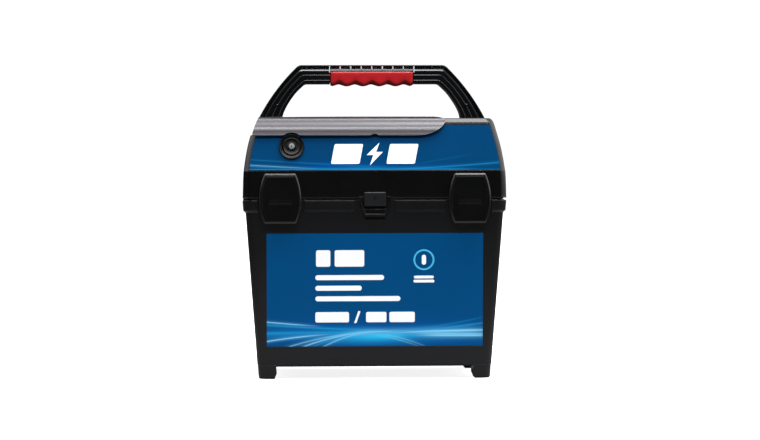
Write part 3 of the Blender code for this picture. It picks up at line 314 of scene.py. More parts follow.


# the case's lightened edges are partly rubbing wear and partly a painted highlight that brings up the thin light line
# under the pads
M_CASE = moulded("case_black", (0.0024, 0.0026, 0.0031), 0.30, spec=0.34, grain=0.05, edge=0.7, round_mm=0.22,
                 rub=(0.018, 0.20, 0.60))
M_LID = moulded("lid_black", (0.0012, 0.0013, 0.0012), 0.22, spec=0.42, grain=0.012, edge=0.20, round_mm=0.20,
                rub=(0.018, 0.05, 0.35))
M_LATCH = moulded("latch_black", (0.0010, 0.0012, 0.0011), 0.22, spec=0.48, grain=0.04, edge=0.9, rub=(0.055, 0.15, 0.55))
M_HANDLE = moulded("handle_black", (0.0008, 0.0011, 0.0016), 0.20, spec=0.50, grain=0.008, edge=0.10, round_mm=0.20)
# painted highlight: the ribs are part of the black handle moulding, their light grey stands for the glints they catch
M_RIB_PAINTED_HIGHLIGHT = moulded("handle_rib", (0.40, 0.40, 0.41), 0.38, spec=0.5, grain=0.05, edge=0.5)
M_SLIDER = moulded("slider_black", (0.0060, 0.0063, 0.0070), 0.34, spec=0.34, grain=0.05, edge=0.2, round_mm=0.15)
M_BEZEL = moulded("switch_black", (0.0010, 0.0011, 0.0013), 0.24, spec=0.13, grain=0.02, edge=0.05)
M_INNER = moulded("inner_black", (0.010, 0.010, 0.011), 0.50, spec=0.4, grain=0.15, edge=0.3)
M_BATTERY = moulded("battery_grey", (0.085, 0.092, 0.100), 0.48, grain=0.2, edge=0.4)
M_BATTERY_TOP = moulded("battery_top_dark", (0.020, 0.021, 0.023), 0.50, grain=0.2, edge=0.4)
M_REDKNOB = moulded("knob_red", (0.46, 0.016, 0.018), 0.36, grain=0.08, edge=0.35)
M_GREENKNOB = moulded("knob_green", (0.012, 0.17, 0.055), 0.36, grain=0.08, edge=0.35)
M_STEEL = metal("zinc_steel", (0.62, 0.62, 0.64), 0.30, patina=(0.42, 0.41, 0.39))
M_BRASS = metal("post_brass", (0.66, 0.51, 0.24), 0.28, patina=(0.30, 0.22, 0.10))


def hood_finish():
    """Satin dark grey cover: a little metal flake under a smooth skin."""
    rgb = (0.066, 0.062, 0.070)
    s = Shader("hood_black", rgb, 0.26, spec=0.40)
    cloud = s.noise(12.0, 4.0, 0.6, s.stretched(0.4, 1.0, 1.0))
    flake = s.cells(1900.0)
    col = s.mix(cloud.ramp(0.3, 0.7), tint(rgb, 0.95), tint(rgb, 1.05))
    col = s.mix(flake.ramp(0.32, 0.12) * 0.12, col, tint(rgb, 1.8))
    s.rounded(0.25)
    # painted highlight: the hood's edges are lightened to stand for the thin light line its cut edges catch
    edge_wear_and_highlight = s.edges(0.7) * (s.noise(150.0, 4.0, 0.7) * 0.5 + 0.5)
    col = s.mix(edge_wear_and_highlight * 0.8, col, tint(rgb, 1.8, 0.20))
    # painted shade: the groove in front of the rear lip is darkened in colour and its shine is turned down
    x, y, z = s.xyz()
    seat = y.ramp(-0.0750, -0.0746) * y.ramp(-0.0730, -0.0734) * z.ramp(0.2825, 0.2822) * z.ramp(0.2790, 0.2795)
    s.set("Base Color", s.mix(seat, col, tint(rgb, 0.06)))
    s.set("Specular IOR Level", seat * -0.36 + 0.40)
    streak = s.noise(60.0, 4.0, 0.6, s.stretched(0.12, 1.0, 1.0))
    s.set("Roughness", (streak - 0.5) * 0.02 + 0.26)
    s.bump(s.noise(1500.0, 2.0, 0.6), 0.015, 0.06)
    return s.done()


M_HOOD = hood_finish()


def rubber(name, rgb, rough, sheen=0.25, grain=0.35, scale=1100.0, round_mm=0.5, spec=0.45, edge=0.35):
    s = Shader(name, rgb, rough, spec=spec)
    cloud = s.noise(22.0, 4.0, 0.6)
    fleck = s.noise(scale * 0.8, 2.0, 0.6)
    col = s.mix(cloud.ramp(0.3, 0.7), tint(rgb, 0.88), tint(rgb, 1.08))
    col = s.mix(fleck.ramp(0.5, 0.8) * 0.3, col, tint(rgb, 0.72))
    s.rounded(round_mm)
    edge_wear_and_highlight = s.edges(1.0) * s.noise(180.0, 4.0, 0.7).ramp(0.45, 0.7)
    s.set("Base Color", s.mix(edge_wear_and_highlight * edge, col, tint(rgb, 1.1, 0.05)))
    s.set("Roughness", (fleck - 0.5) * 0.15 + rough)
    s.set("Sheen Weight", sheen)
    s.set("Sheen Roughness", 0.4)
    s.bump(s.cells(scale) + s.noise(scale * 2.0, 2.0, 0.5) * 0.5, grain, 0.12)
    return s.done()


M_GRIP = rubber("grip_red", (0.37, 0.0085, 0.0125), 0.32, sheen=0.0, grain=0.06, spec=0.32, edge=0.10)
M_SEAL = rubber("seal_rubber", (0.016, 0.016, 0.017), 0.70, grain=0.3)
M_REDWIRE = rubber("wire_red", (0.46, 0.014, 0.014), 0.42, sheen=0.1, grain=0.12, scale=1600.0)
M_BLACKWIRE = rubber("wire_black", (0.012, 0.012, 0.013), 0.42, sheen=0.1, grain=0.12, scale=1600.0)


# ------------------------------------------------------------ printed labels
BLUE = (0.0, 0.0560, 0.1720)
DEEP = (0.0, 0.0700, 0.3000)
SKY = (0.010, 0.26, 0.56)
PALE = (0.20, 0.56, 0.80)


def print_finish(s, gloss=1.0):
    """Laminated vinyl: slight orange peel under a clear film."""
    s.set("Coat Weight", 0.02 * gloss)
    s.set("Coat Roughness", 0.30)
    s.set("Specular IOR Level", 0.05 * gloss)
    dot = s.noise(420.0, 2.0, 0.5)
    s.set("Roughness", (dot - 0.5) * 0.08 + 0.42)
    s.bump(s.noise(260.0, 3.0, 0.55), 0.05, 0.10)


def streaks(s, across, up, lines, glows, grain, k0=1.0):
    """Lays soft light trails over the blue; each trail is a parabola in the label's plane."""
    col = s.mix(grain.ramp(0.3, 0.7), tint(BLUE, 0.97 * k0), tint(BLUE, 1.03 * k0))
    glows = [g[:4] + (tint(g[4], k0),) + g[5:] for g in glows]
    lines = [c[:6] + (tint(c[6], k0),) + c[7:] for c in lines]
    for (cx, cy, wx, wy, colour, k) in glows:
        f = ((across - cx) / wx).bell() * ((up - cy) / wy).bell() * k
        col = s.mix(f, col, colour)
    for (a, b, c, x0, x1, w0, colour, k) in lines:
        centre = across * across * c + across * b + a
        d = (up - centre) / w0
        body = d.bell()
        halo = (d * 0.28).bell() * 0.28
        fade = across.ramp(x0 - 0.10, x0 + 0.25) * across.ramp(x1 + 0.10, x1 - 0.25)
        col = s.mix((body + halo) * fade * k, col, colour)
    return col


def front_print():
    s = Shader("label_blue_front", BLUE, 0.42)
    x, y, z = s.xyz()
    across = x / (LABEL_X * MM)
    up = (z - LABEL_Z0 * MM) / ((LABEL_Z1 - LABEL_Z0) * MM)
    glows = [(0.00, 0.115, 1.05, 0.115, DEEP, 0.75), (0.62, 0.115, 0.40, 0.05, SKY, 0.55),
             (-0.10, 0.080, 0.42, 0.055, SKY, 0.90), (0.05, 0.095, 0.26, 0.035, (0.02, 0.55, 0.85), 0.7),
             (-0.85, 0.10, 0.25, 0.03, SKY, 0.35)]
    lines = [(0.125, 0.010, 0.004, -0.25, 1.10, 0.0085, PALE, 0.90),
             (0.118, -0.012, 0.000, 0.35, 1.10, 0.0060, PALE, 0.60),
             (0.096, -0.004, 0.000, 0.40, 1.12, 0.0075, PALE, 0.80),
             (0.120, 0.022, 0.060, -0.15, 1.10, 0.0060, SKY, 0.65),
             (0.128, 0.030, 0.095, 0.20, 1.05, 0.0045, SKY, 0.30),
             (0.142, -0.030, 0.018, -1.20, 0.10, 0.0075, SKY, 0.60),
             (0.150, -0.045, 0.022, -1.20, -0.55, 0.0040, PALE, 0.75),
             (0.120, -0.010, -0.012, -1.20, 0.05, 0.0120, SKY, 0.60),
             (0.122, 0.004, -0.072, -1.20, -0.45, 0.0045, PALE, 0.80),
             (0.124, 0.020, -0.175, -1.00, 0.05, 0.0045, PALE, 0.50),
             (0.126, 0.035, -0.240, -0.80, 0.10, 0.0050, PALE, 0.70),
             (0.124, 0.035, -0.330, -0.70, 0.12, 0.0042, SKY, 0.60),
             (0.128, 0.050, -0.470, -0.60, 0.15, 0.0050, PALE, 0.55),
             (0.110, -0.080, -0.350, 0.02, 0.52, 0.0040, PALE, 0.35),
             (0.100, -0.150, -0.250, 0.00, 0.45, 0.0035, PALE, 0.35)]
    s.set("Base Color", streaks(s, across, up, lines, glows, s.noise(14.0, 3.0)))
    print_finish(s)
    return s.done()


def top_print():
    s = Shader("label_blue_top", BLUE, 0.42)
    x, y, z = s.xyz()
    across = x / (LABEL_X * MM)
    up = (z - TL_LO[2] * MM) / (48.0 * MM)
    glows = [(-0.36, 0.09, 0.36, 0.09, DEEP, 0.90), (0.34, 0.03, 0.42, 0.09, DEEP, 0.80),
             (0.12, -0.02, 0.46, 0.055, SKY, 0.85), (-0.10, 0.03, 0.22, 0.05, SKY, 0.35)]
    lines = [(0.078, -0.112, 0.022, -1.30, 0.10, 0.0075, SKY, 0.36),
             (-0.046, -0.139, 0.000, -1.35, -0.55, 0.0080, PALE, 0.52),
             (0.022, -0.020, 0.030, -1.30, 0.05, 0.0070, SKY, 0.55),
             (0.012, 0.000, 0.004, -1.30, 0.90, 0.0100, SKY, 0.75),
             (0.005, 0.064, 0.065, 0.10, 1.35, 0.0120, SKY, 0.58),
             (-0.050, 0.500, -0.070, 0.30, 0.95, 0.0085, SKY, 0.13),
             (0.008, 0.000, 0.000, 0.60, 1.35, 0.0070, SKY, 0.50)]
    s.set("Base Color", streaks(s, across, up, lines, glows, s.noise(14.0, 3.0), 0.62))
    print_finish(s, 0.2)
    return s.done()


def ink(name, rgb):
    s = Shader(name, rgb, 0.40)
    speck = s.noise(500.0, 2.0, 0.6)
    s.set("Base Color", s.mix(speck.ramp(0.5, 0.8) * 0.5, rgb, tint(rgb, 0.93)))
    print_finish(s)
    return s.done()


M_FRONT_PRINT = front_print()
M_TOP_PRINT = top_print()
M_WHITE = ink("print_white", (0.86, 0.87, 0.88))
M_CYAN = ink("print_cyan", (0.06, 0.42, 0.68))


# ------------------------------------------------------------ small-part finishes
def lens_finish(name, rgb, rough, transmit, spec=0.5):
    s = Shader(name, rgb, rough, spec=spec)
    s.set("Transmission Weight", transmit)
    s.set("IOR", 1.49)
    haze = s.noise(300.0, 3.0, 0.6)
    s.set("Base Color", s.mix(haze.ramp(0.4, 0.7), rgb, tint(rgb, 0.85)))
    s.set("Roughness", (haze - 0.5) * 0.06 + rough)
    s.bump(haze, 0.04, 0.05)
    return s.done()


M_LENS = lens_finish("lens_clear", (0.15, 0.155, 0.16), 0.30, 0.10, 0.22)
M_DARKLENS = lens_finish("lens_dark", (0.006, 0.006, 0.007), 0.10, 0.0)


def board_finish():
    rgb = (0.008, 0.085, 0.032)
    s = Shader("board_green", rgb, 0.34)
    x, y, z = s.xyz()
    lane = (x * 420.0).m("FRACT").ramp(0.42, 0.46) * (x * 420.0).m("FRACT").ramp(0.60, 0.56)
    gate = s.noise(45.0, 1.0, 0.4, s.stretched(1.0, 0.25, 1.0)).ramp(0.50, 0.54)
    col = s.mix(lane * gate * 0.6, s.mix(s.noise(18.0), tint(rgb, 0.85), tint(rgb, 1.15)), (0.02, 0.20, 0.07))
    pad = s.cells(210.0).ramp(0.16, 0.12)
    col = s.mix(pad * 0.8, col, (0.55, 0.50, 0.38))
    s.rounded(0.2)
    s.set("Base Color", col)
    s.set("Roughness", pad * -0.08 + 0.36)
    s.bump(lane * gate + pad, 0.12, 0.05)
    return s.done()


def laminated():
    rgb = (0.15, 0.15, 0.16)
    s = Shader("core_steel", rgb, 0.45, metal=1.0)
    x, y, z = s.xyz()
    sheet = (y * 1600.0).m("SINE")
    rust = s.noise(70.0, 5.0, 0.7)
    col = s.mix(sheet.ramp(-0.6, 0.6), tint(rgb, 0.6), tint(rgb, 1.25))
    s.set("Base Color", s.mix(rust.ramp(0.58, 0.8) * 0.5, col, (0.16, 0.07, 0.03)))
    s.set("Roughness", (rust - 0.5) * 0.2 + 0.45)
    s.bump(sheet, 0.3, 0.10)
    return s.done()


def wound_tape():
    rgb = (0.55, 0.33, 0.06)
    s = Shader("coil_tape", rgb, 0.38)
    x, y, z = s.xyz()
    lap = (z * 260.0 + x * 30.0).m("FRACT")
    col = s.mix(lap.ramp(0.0, 0.12) * 0.8 + 0.2, tint(rgb, 0.55), rgb)
    s.set("Base Color", s.mix(s.noise(60.0), col, s.mix(0.5, col, tint(rgb, 1.15))))
    s.set("Roughness", s.noise(120.0) * 0.15 + 0.30)
    s.bump(lap, 0.25, 0.15)
    return s.done()


def sleeve():
    rgb = (0.018, 0.035, 0.095)
    s = Shader("capacitor_blue", rgb, 0.28)
    x, y, z = s.xyz()
    stripe = x.ramp(0.026, 0.0265) * x.ramp(0.032, 0.0315)
    col = s.mix(s.noise(30.0), tint(rgb, 0.85), tint(rgb, 1.15))
    s.set("Base Color", s.mix(stripe * 0.85, col, (0.45, 0.46, 0.48)))
    s.rounded(0.3)
    s.set("Roughness", s.noise(90.0) * 0.12 + 0.22)
    s.bump(s.noise(300.0, 3.0), 0.08, 0.1)
    return s.done()


M_BOARD, M_CORE, M_COIL, M_CAP = board_finish(), laminated(), wound_tape(), sleeve()


# ------------------------------------------------------------ mesh tools
def emit(name, data, mat=None, at=None, smooth=30.0):
    """Mesh object from millimetre data; its vertices end up in the row frame."""
    verts, faces = data
    mesh = bpy.data.meshes.new(name)
    bm = bmesh.new()
    if at is None:
        made = [bm.verts.new(Vector(v) * MM) for v in verts]
    else:
        made = [bm.verts.new((at @ Vector(v)) * MM) for v in verts]
    for f in faces:
        bm.faces.new([made[i] for i in f])
    bmesh.ops.recalc_face_normals(bm, faces=bm.faces)
    bm.to_mesh(mesh)
    bm.free()
    ob = bpy.data.objects.new(name, mesh)
    ROOT.objects.link(ob)
    if mat is not None:
        mesh.materials.append(mat)
    if smooth is not None:
        mesh.shade_smooth()
        mesh.set_sharp_from_angle(angle=math.radians(smooth))
    return ob


def loft_data(rings, close=False):
    n = len(rings[0])
    verts = [p for r in rings for p in r]
    faces = []
    last = len(rings) if close else len(rings) - 1
    for k in range(last):
        a, b = k * n, ((k + 1) % len(rings)) * n
        for i in range(n):
            j = (i + 1) % n
            faces.append((a + i, a + j, b + j, b + i))
    if not close:
        faces.append(tuple(range(n))[::-1])
        faces.append(tuple(range((len(rings) - 1) * n, len(rings) * n)))
    return verts, faces


def round_rect(z, hx, yf, yb, r, n=12):
    pts = []
    for cx, cy, a0 in ((hx - r, yb - r, 0), (r - hx, yb - r, 90),
                       (r - hx, yf + r, 180), (hx - r, yf + r, 270)):
        for i in range(n + 1):
            a = math.radians(a0 + 90.0 * i / n)
            pts.append((cx + r * math.cos(a), cy + r * math.sin(a), z))
    return pts


def circle(r, n, z=0.0, phase=0.0):
    return [(r * math.cos(2 * math.pi * (i + phase) / n), r * math.sin(2 * math.pi * (i + phase) / n), z)
            for i in range(n)]


def turned_data(profile, n=64):
    return loft_data([circle(r, n, z) for r, z in profile])


def tube_data(profile, n=64):
    return loft_data([circle(r, n, z) for r, z in profile], close=True)


def block_data(x0, x1, y0, y1, z0, z1):
    v = [(x, y, z) for z in (z0, z1) for x, y in ((x0, y0), (x1, y0), (x1, y1), (x0, y1))]
    f = [(3, 2, 1, 0), (4, 5, 6, 7), (0, 1, 5, 4), (1, 2, 6, 5), (2, 3, 7, 6), (3, 0, 4, 7)]
    return v, f


def prism_data(poly, a, b, axis):
    if axis == "x":
        lo, hi = [(a, p, q) for p, q in poly], [(b, p, q) for p, q in poly]
    elif axis == "y":
        lo, hi = [(p, a, q) for p, q in poly], [(p, b, q) for p, q in poly]
    else:
        lo, hi = [(p, q, a) for p, q in poly], [(p, q, b) for p, q in poly]
    return loft_data([lo, hi])


def cylinder_data(axis, centre, r, a, b, n=40):
    p, q = centre
    poly = [(p + r * math.cos(2 * math.pi * (i + 0.5) / n), q + r * math.sin(2 * math.pi * (i + 0.5) / n))
            for i in range(n)]
    return prism_data(poly, a, b, axis)


def rod_data(axis, centre, r, a, b, c=0.5, n=48):
    """Cylinder with chamfered ends."""
    p, q = centre
    rings = []
    for t, rr in ((a, r - c), (a + c * 0.4, r - c * 0.4), (a + c, r), (b - c, r), (b - c * 0.4, r - c * 0.4),
                  (b, r - c)):
        ring = []
        for i in range(n):
            w = 2 * math.pi * i / n
            u, v = p + rr * math.cos(w), q + rr * math.sin(w)
            ring.append({"x": (t, u, v), "y": (u, t, v), "z": (u, v, t)}[axis])
        rings.append(ring)
    return loft_data(rings)


def join_data(*parts):
    verts, faces = [], []
    for v, f in parts:
        k = len(verts)
        verts += list(v)
        faces += [tuple(i + k for i in face) for face in f]
    return verts, faces


def mirror_data(data, axis=0):
    v = [tuple(-c if k == axis else c for k, c in enumerate(p)) for p in data[0]]
    return v, [f[::-1] for f in data[1]]


def bake(ob):
    """Applies the modifiers."""
    dg = bpy.context.evaluated_depsgraph_get()
    new = bpy.data.meshes.new_from_object(ob.evaluated_get(dg), preserve_all_data_layers=True, depsgraph=dg)
    ob.modifiers.clear()
    old = ob.data
    ob.data = new
    new.name = ob.name
    bpy.data.meshes.remove(old)
    return ob


def boolean(ob, op, *datas, smooth=30.0):
    """Applies one Boolean per tool body, then drops the tool."""
    for d in datas:
        tool = emit("tool_body", d, None, smooth=None)
        keep = ob.data.copy()
        for careful in (False, True):
            m = ob.modifiers.new("b", "BOOLEAN")
            m.object, m.operation, m.solver = tool, op, "EXACT"
            m.use_self = m.use_hole_tolerant = careful
            bake(ob)
            if len(ob.data.vertices) > 0.8 * len(keep.vertices):
                break
            if not careful:
                bad = ob.data
                ob.data = keep.copy()
                bpy.data.meshes.remove(bad)
        bpy.data.meshes.remove(keep)
        mesh = tool.data
        bpy.data.objects.remove(tool)
        bpy.data.meshes.remove(mesh)
    tidy(ob, smooth)
    return ob


def tidy(ob, smooth=30.0):
    bm = bmesh.new()
    bm.from_mesh(ob.data)
    bmesh.ops.remove_doubles(bm, verts=bm.verts, dist=0.000002)
    bmesh.ops.dissolve_degenerate(bm, edges=bm.edges, dist=0.000002)
    bm.to_mesh(ob.data)
    bm.free()
    ob.data.shade_smooth()
    ob.data.set_sharp_from_angle(angle=math.radians(smooth))
    return ob


def add(ob, *datas, **kw):
    return boolean(ob, "UNION", *datas, **kw)


def cut(ob, *datas, **kw):
    return boolean(ob, "DIFFERENCE", *datas, **kw)


def soften(ob, width=0.4, segments=2, angle=32.0):
    m = ob.modifiers.new("bevel", "BEVEL")
    m.width, m.segments = width * MM, segments
    m.limit_method, m.angle_limit = "ANGLE", math.radians(angle)
    m.harden_normals = True
    m.miter_outer = "MITER_ARC"
    return ob


def weigh(ob):
    m = ob.modifiers.new("normals", "WEIGHTED_NORMAL")
    m.keep_sharp = True
    m.weight = 60
    return ob


def place(ob, body, slot, *nodes, weighted=True):
    if weighted:
        weigh(ob)
    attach(ob, body)
    if nodes:
        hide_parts(*nodes)
    return ob


def axis_frame(pos, z_dir, x_hint=(1, 0, 0)):
    z = Vector(z_dir).normalized()
    x = Vector(x_hint)
    x = (x - z * x.dot(z)).normalized()
    y = z.cross(x)
    m = Matrix.Identity(4)
    for i in range(3):
        m[i][0], m[i][1], m[i][2] = x[i], y[i], z[i]
    m.translation = Vector(pos)
    return m


def panel_frame(x, v, lift=0.0):
    n = Vector((0, -math.cos(TILT), math.sin(TILT)))
    u = Vector((0, math.sin(TILT), math.cos(TILT)))
    m = Matrix.Identity(4)
    for i in range(3):
        m[i][0], m[i][1], m[i][2] = (1.0, 0.0, 0.0)[i], u[i], n[i]
    m.translation = Vector((x, PANEL_Y, PANEL_Z)) + u * v + n * lift
    return m


def on_panel(data, x=0.0, v=0.0, lift=0.0):
    f = panel_frame(x, v, lift)
    return [tuple(f @ Vector(p)) for p in data[0]], data[1]


def arc(cx, cy, r, a0, a1, n):
    return [(cx + r * math.cos(math.radians(a0 + (a1 - a0) * i / n)),
             cy + r * math.sin(math.radians(a0 + (a1 - a0) * i / n))) for i in range(n + 1)]


def smooth01(t):
    t = max(0.0, min(1.0, t))
    return t * t * (3 - 2 * t)


# ------------------------------------------------------------ battery box
def box_half(z):
    return BOX_W0 + DRAFT * z, BOX_D0 + DRAFT * z


def box_ring(z, off=0.0, r=None):
    hx, hy = box_half(z)
    return round_rect(z, hx + off, -hy - off, hy + off, BOX_R + off if r is None else r)


def build_box():
    rings = []
    for i in range(7):
        a = math.radians(90.0 * i / 6)
        rings.append(box_ring(UNDERSIDE_Z + 3.4 * (1 - math.cos(a)), -3.2 * (1 - math.sin(a))))
    for z in (60.0, 110.0, 150.0, 175.0, RIM_Z - 0.8):
        rings.append(box_ring(z))
    for i in range(1, 5):
        a = math.radians(90.0 * i / 4)
        rings.append(box_ring(RIM_Z - 0.8 + 0.8 * math.sin(a), -0.8 * (1 - math.cos(a))))
    rings.append(box_ring(RIM_Z, -2.4, 6.6))
    rings.append(box_ring(RIM_Z - 0.3, -2.85, 6.15))
    rings.append(box_ring(RIM_Z - 0.8, -3.0, 6.0))
    rings.append(box_ring(100.0, -3.0, 6.0))
    for i in range(5):
        a = math.radians(90.0 * i / 4)
        rings.append(box_ring(FLOOR_Z + 3.0 * (1 - math.sin(a)), -3.0 - 3.0 * (1 - math.cos(a)), 6.0))
    box = emit("battery_box_shell", loft_data(rings), M_CASE)

    feet = []
    for sx in (1, -1):
        for sy in (1, -1):
            rr = []
            for z, trim, inset in ((0.0, 3.4, 1.5), (0.3, 2.9, 0.7), (1.1, 2.3, 0.15), (2.0, 1.9, 0.0),
                                   (6.2, 0.0, 0.0), (UNDERSIDE_Z + 1.6, 0.0, 0.0)):
                hx, hy = box_half(z)
                hx, hy = hx - 0.35 - inset, hy - 0.35 - inset
                x0, y0, r = box_half(z)[0] - 20.35 + trim, box_half(z)[1] - 27.35 + trim, 8.6
                pts = [(x0, y0 + 1.2), (x0 + 0.35, y0 + 0.35), (x0 + 1.2, y0), (hx, y0)]
                pts += arc(hx - r, hy - r, r, 0, 90, 10)
                pts.append((x0, hy))
                rr.append([(sx * p, sy * q, z) for p, q in pts])
            feet.append(loft_data(rr))
    add(box, join_data(*feet))

    # pads under the lid's edge, with rounded ends and a chamfered lower edge
    face, low = box_half(PAD_Z1)[1], box_half(PAD_Z0)[1] - 0.6
    out = face + PAD_PROUD

    def pad_section(inset):
        o = out - inset
        return ([(-(face - 2.3), PAD_Z1), (-(face - 2.3), PAD_Z0), (-low, PAD_Z0), (-low - 0.35, PAD_Z0 + 0.15)] +
                [(-o + 0.25, PAD_Z0 + 2.7), (-o + 0.05, PAD_Z0 + 3.0), (-o, PAD_Z0 + 3.5)] +
                [(-o, PAD_Z1 - 0.8), (-o + 0.18, PAD_Z1 - 0.3), (-o + 0.6, PAD_Z1)])

    pads = []
    for a, b in ((22.0, 76.0), (-76.0, -22.0)):
        rings = []
        for k, (dx, inset) in enumerate(((0.0, 0.9), (0.25, 0.35), (0.9, 0.0))):
            rings.append([(a + dx, y, z) for y, z in pad_section(inset)])
        for dx, inset in ((0.9, 0.0), (0.25, 0.35), (0.0, 0.9)):
            rings.append([(b - dx, y, z) for y, z in pad_section(inset)])
        pads += [loft_data(rings), mirror_data(loft_data(rings), 1)]
    add(box, join_data(*pads))

    nubs = []
    for sx in (1, -1):
        for sy in (1, -1):
            rr = []
            for z, off in ((PAD_Z0, -0.6), (PAD_Z0 + 2.7, PAD_PROUD - 0.25), (PAD_Z0 + 3.3, PAD_PROUD),
                           (PAD_Z1 - 0.8, PAD_PROUD), (PAD_Z1 - 0.25, PAD_PROUD - 0.2), (PAD_Z1, PAD_PROUD - 0.6)):
                bx, by = box_half(z)
                ox, oy, r = bx + off, by + off, BOX_R + off
                pts = [(ox - 3.4 - off, by - 22.0), (ox - 0.8, by - 22.0), (ox - 0.2, by - 21.8), (ox, by - 21.2)]
                pts += arc(ox - r, oy - r, r, 0, 90, 10)
                pts += [(126.4, oy), (125.8, oy - 0.2), (125.6, oy - 0.8), (125.6, oy - 3.4 - off),
                        (ox - 3.4 - off - 5.0, oy - 3.4 - off), (ox - 3.4 - off, oy - 3.4 - off - 5.0)]
                rr.append([(sx * p, sy * q, z) for p, q in pts])
            nubs.append(loft_data(rr))
    add(box, join_data(*nubs))

    lugs = []
    for sx in (1, -1):
        xc, y, z, r = sx * LATCH_X, PIN_Y, PIN_Z, 2.9
        wall = -box_half(z)[1]
        poly = [(wall + 1.2, z - 2.9)]
        poly += [(y + r * math.cos(math.radians(270.0 - 180.0 * i / 16)),
                  z + r * math.sin(math.radians(270.0 - 180.0 * i / 16))) for i in range(17)]
        poly += [(wall + 1.2, z + 2.9)]
        lugs.append(prism_data(poly, xc - 6.9, xc + 6.9, "x"))
    add(box, join_data(*lugs))
    cut(box, join_data(*[cylinder_data("x", (PIN_Y, PIN_Z), 1.7, sx * LATCH_X - 9.0, sx * LATCH_X + 9.0, 28)
                         for sx in (1, -1)]))

    ears = []
    for sx in (1, -1):
        for a, b in ((HINGE_X - 14.6, HINGE_X - 6.3), (HINGE_X + 6.3, HINGE_X + 14.6)):
            wall = box_half(HINGE_Z - 4)[1]
            poly = [(wall - 1.2, HINGE_Z - 11.0), (wall + 0.6, HINGE_Z - 11.0)]
            poly += [(HINGE_Y + 3.3 * math.cos(math.radians(-60.0 + 235.0 * i / 24)),
                      HINGE_Z + 3.3 * math.sin(math.radians(-60.0 + 235.0 * i / 24))) for i in range(25)]
            poly += [(wall - 1.2, HINGE_Z + 0.2)]
            ears.append(prism_data(poly, sx * a, sx * b, "x"))
    add(box, join_data(*ears))
    cut(box, join_data(*[cylinder_data("x", (HINGE_Y, HINGE_Z), 1.8, sx * HINGE_X - 16.0, sx * HINGE_X + 16.0, 28)
                         for sx in (1, -1)]))

    skin = []
    zc, hz, hx, r = (LABEL_Z0 + LABEL_Z1) / 2, (LABEL_Z1 - LABEL_Z0) / 2 + 0.4, LABEL_X + 0.4, 1.3
    outline = (arc(hx - r, hz - r, r, 0, 90, 6) + arc(r - hx, hz - r, r, 90, 180, 6) +
               arc(r - hx, r - hz, r, 180, 270, 6) + arc(hx - r, r - hz, r, 270, 360, 6))
    for lift in (0.8, -3.0):
        skin.append([(x, -box_half(zc + z)[1] + lift, zc + z) for x, z in outline])
    cut(box, loft_data(skin))
    cut(box, block_data(-11.0, 11.0, -110.0, -box_half(173)[1] + 2.3, 171.8, 175.1))
    cut(box, block_data(-11.6, 11.6, -110.0, -box_half(184)[1] + 2.0, 182.6, 187.2))

    bx, by = BA_HI[0], BA_HI[1]
    rails = []
    for s in (1, -1):
        rails.append(block_data(*sorted((s * (bx + 0.8), s * (bx + 3.6))), -45, 45, FLOOR_Z - 1.2, 32.0))
        rails.append(block_data(-38, 38, *sorted((s * (by + 0.8), s * (by + 3.6))), FLOOR_Z - 1.2, 32.0))
    add(box, join_data(*rails))
    return box


battery_box = place(build_box(), "base", "case_black", "battery_box")


# ------------------------------------------------------------ labels
def rounded_outline(hx, hz, r, n=6):
    return (arc(hx - r, hz - r, r, 0, 90, n) + arc(r - hx, hz - r, r, 90, 180, n) +
            arc(r - hx, r - hz, r, 180, 270, n) + arc(hx - r, r - hz, r, 270, 360, n))


def build_front_label():
    zc, hz = (LABEL_Z0 + LABEL_Z1) / 2, (LABEL_Z1 - LABEL_Z0) / 2
    rings = []
    for lift, inset in ((0.5, 0.0), (0.08, 0.0), (0.0, 0.08)):
        rings.append([(x, -box_half(zc + z)[1] + lift, zc + z)
                      for x, z in rounded_outline(LABEL_X - inset, hz - inset, 0.9 - inset)])
    return emit("front_label_sheet", loft_data(rings), M_FRONT_PRINT)


place(build_front_label(), "base", "label_blue", "front_label")


def mark_data(outline, surface, lift=0.10):
    """Thin printed patch that follows a surface: surface(x, z, lift) gives the point."""
    return loft_data([[surface(x, z, -0.03) for x, z in outline], [surface(x, z, lift) for x, z in outline]])


def on_front(x, z, lift):
    return (x, -box_half(z)[1] - lift, z)


def on_slope(x, z, lift):
    f = panel_frame(0, 0)
    v = (z - PANEL_Z) / math.cos(TILT)
    return tuple(f @ Vector((x, v, lift)))


def bar(x0, x1, z0, z1, r=None, slant=0.0):
    hx, hz = (x1 - x0) / 2, (z1 - z0) / 2
    r = min(hx, hz) * 0.98 if r is None else r
    cx, cz = (x0 + x1) / 2, (z0 + z1) / 2
    return [(cx + x + slant * z, cz + z) for x, z in rounded_outline(hx, hz, r, 6)]


# plain blocks and bars where a maker's wording would be printed
front_marks = []
for x0, x1, z0, z1, r in ((-63.4, -48.0, 121.4, 139.2, 2.0), (-43.4, -11.6, 121.4, 139.2, 2.0),
                          (-64.2, 9.8, 106.9, 112.3, None), (-64.2, -14.2, 95.5, 100.9, None),
                          (-64.2, 27.4, 84.1, 89.5, None),
                          (-64.2, -28.0, 61.2, 72.4, 1.8), (-9.6, 12.4, 61.2, 72.4, 1.8), (15.6, 43.0, 61.2, 72.4, 1.8)):
    front_marks.append(mark_data(bar(x0, x1, z0, z1, r), on_front))
front_marks.append(mark_data(bar(-20.2, -17.8, 60.4, 73.4, 0.6, slant=0.34), on_front))
for x0, x1, z0, z1 in ((42.0, 63.4, 108.4, 111.4), (41.4, 64.0, 104.0, 107.0)):
    front_marks.append(mark_data(bar(x0, x1, z0, z1), on_front))
front_marks.append(mark_data(bar(50.4, 55.0, 123.2, 134.0), on_front))
place(emit("front_label_print", join_data(*front_marks), M_WHITE), "base", "label_blue")


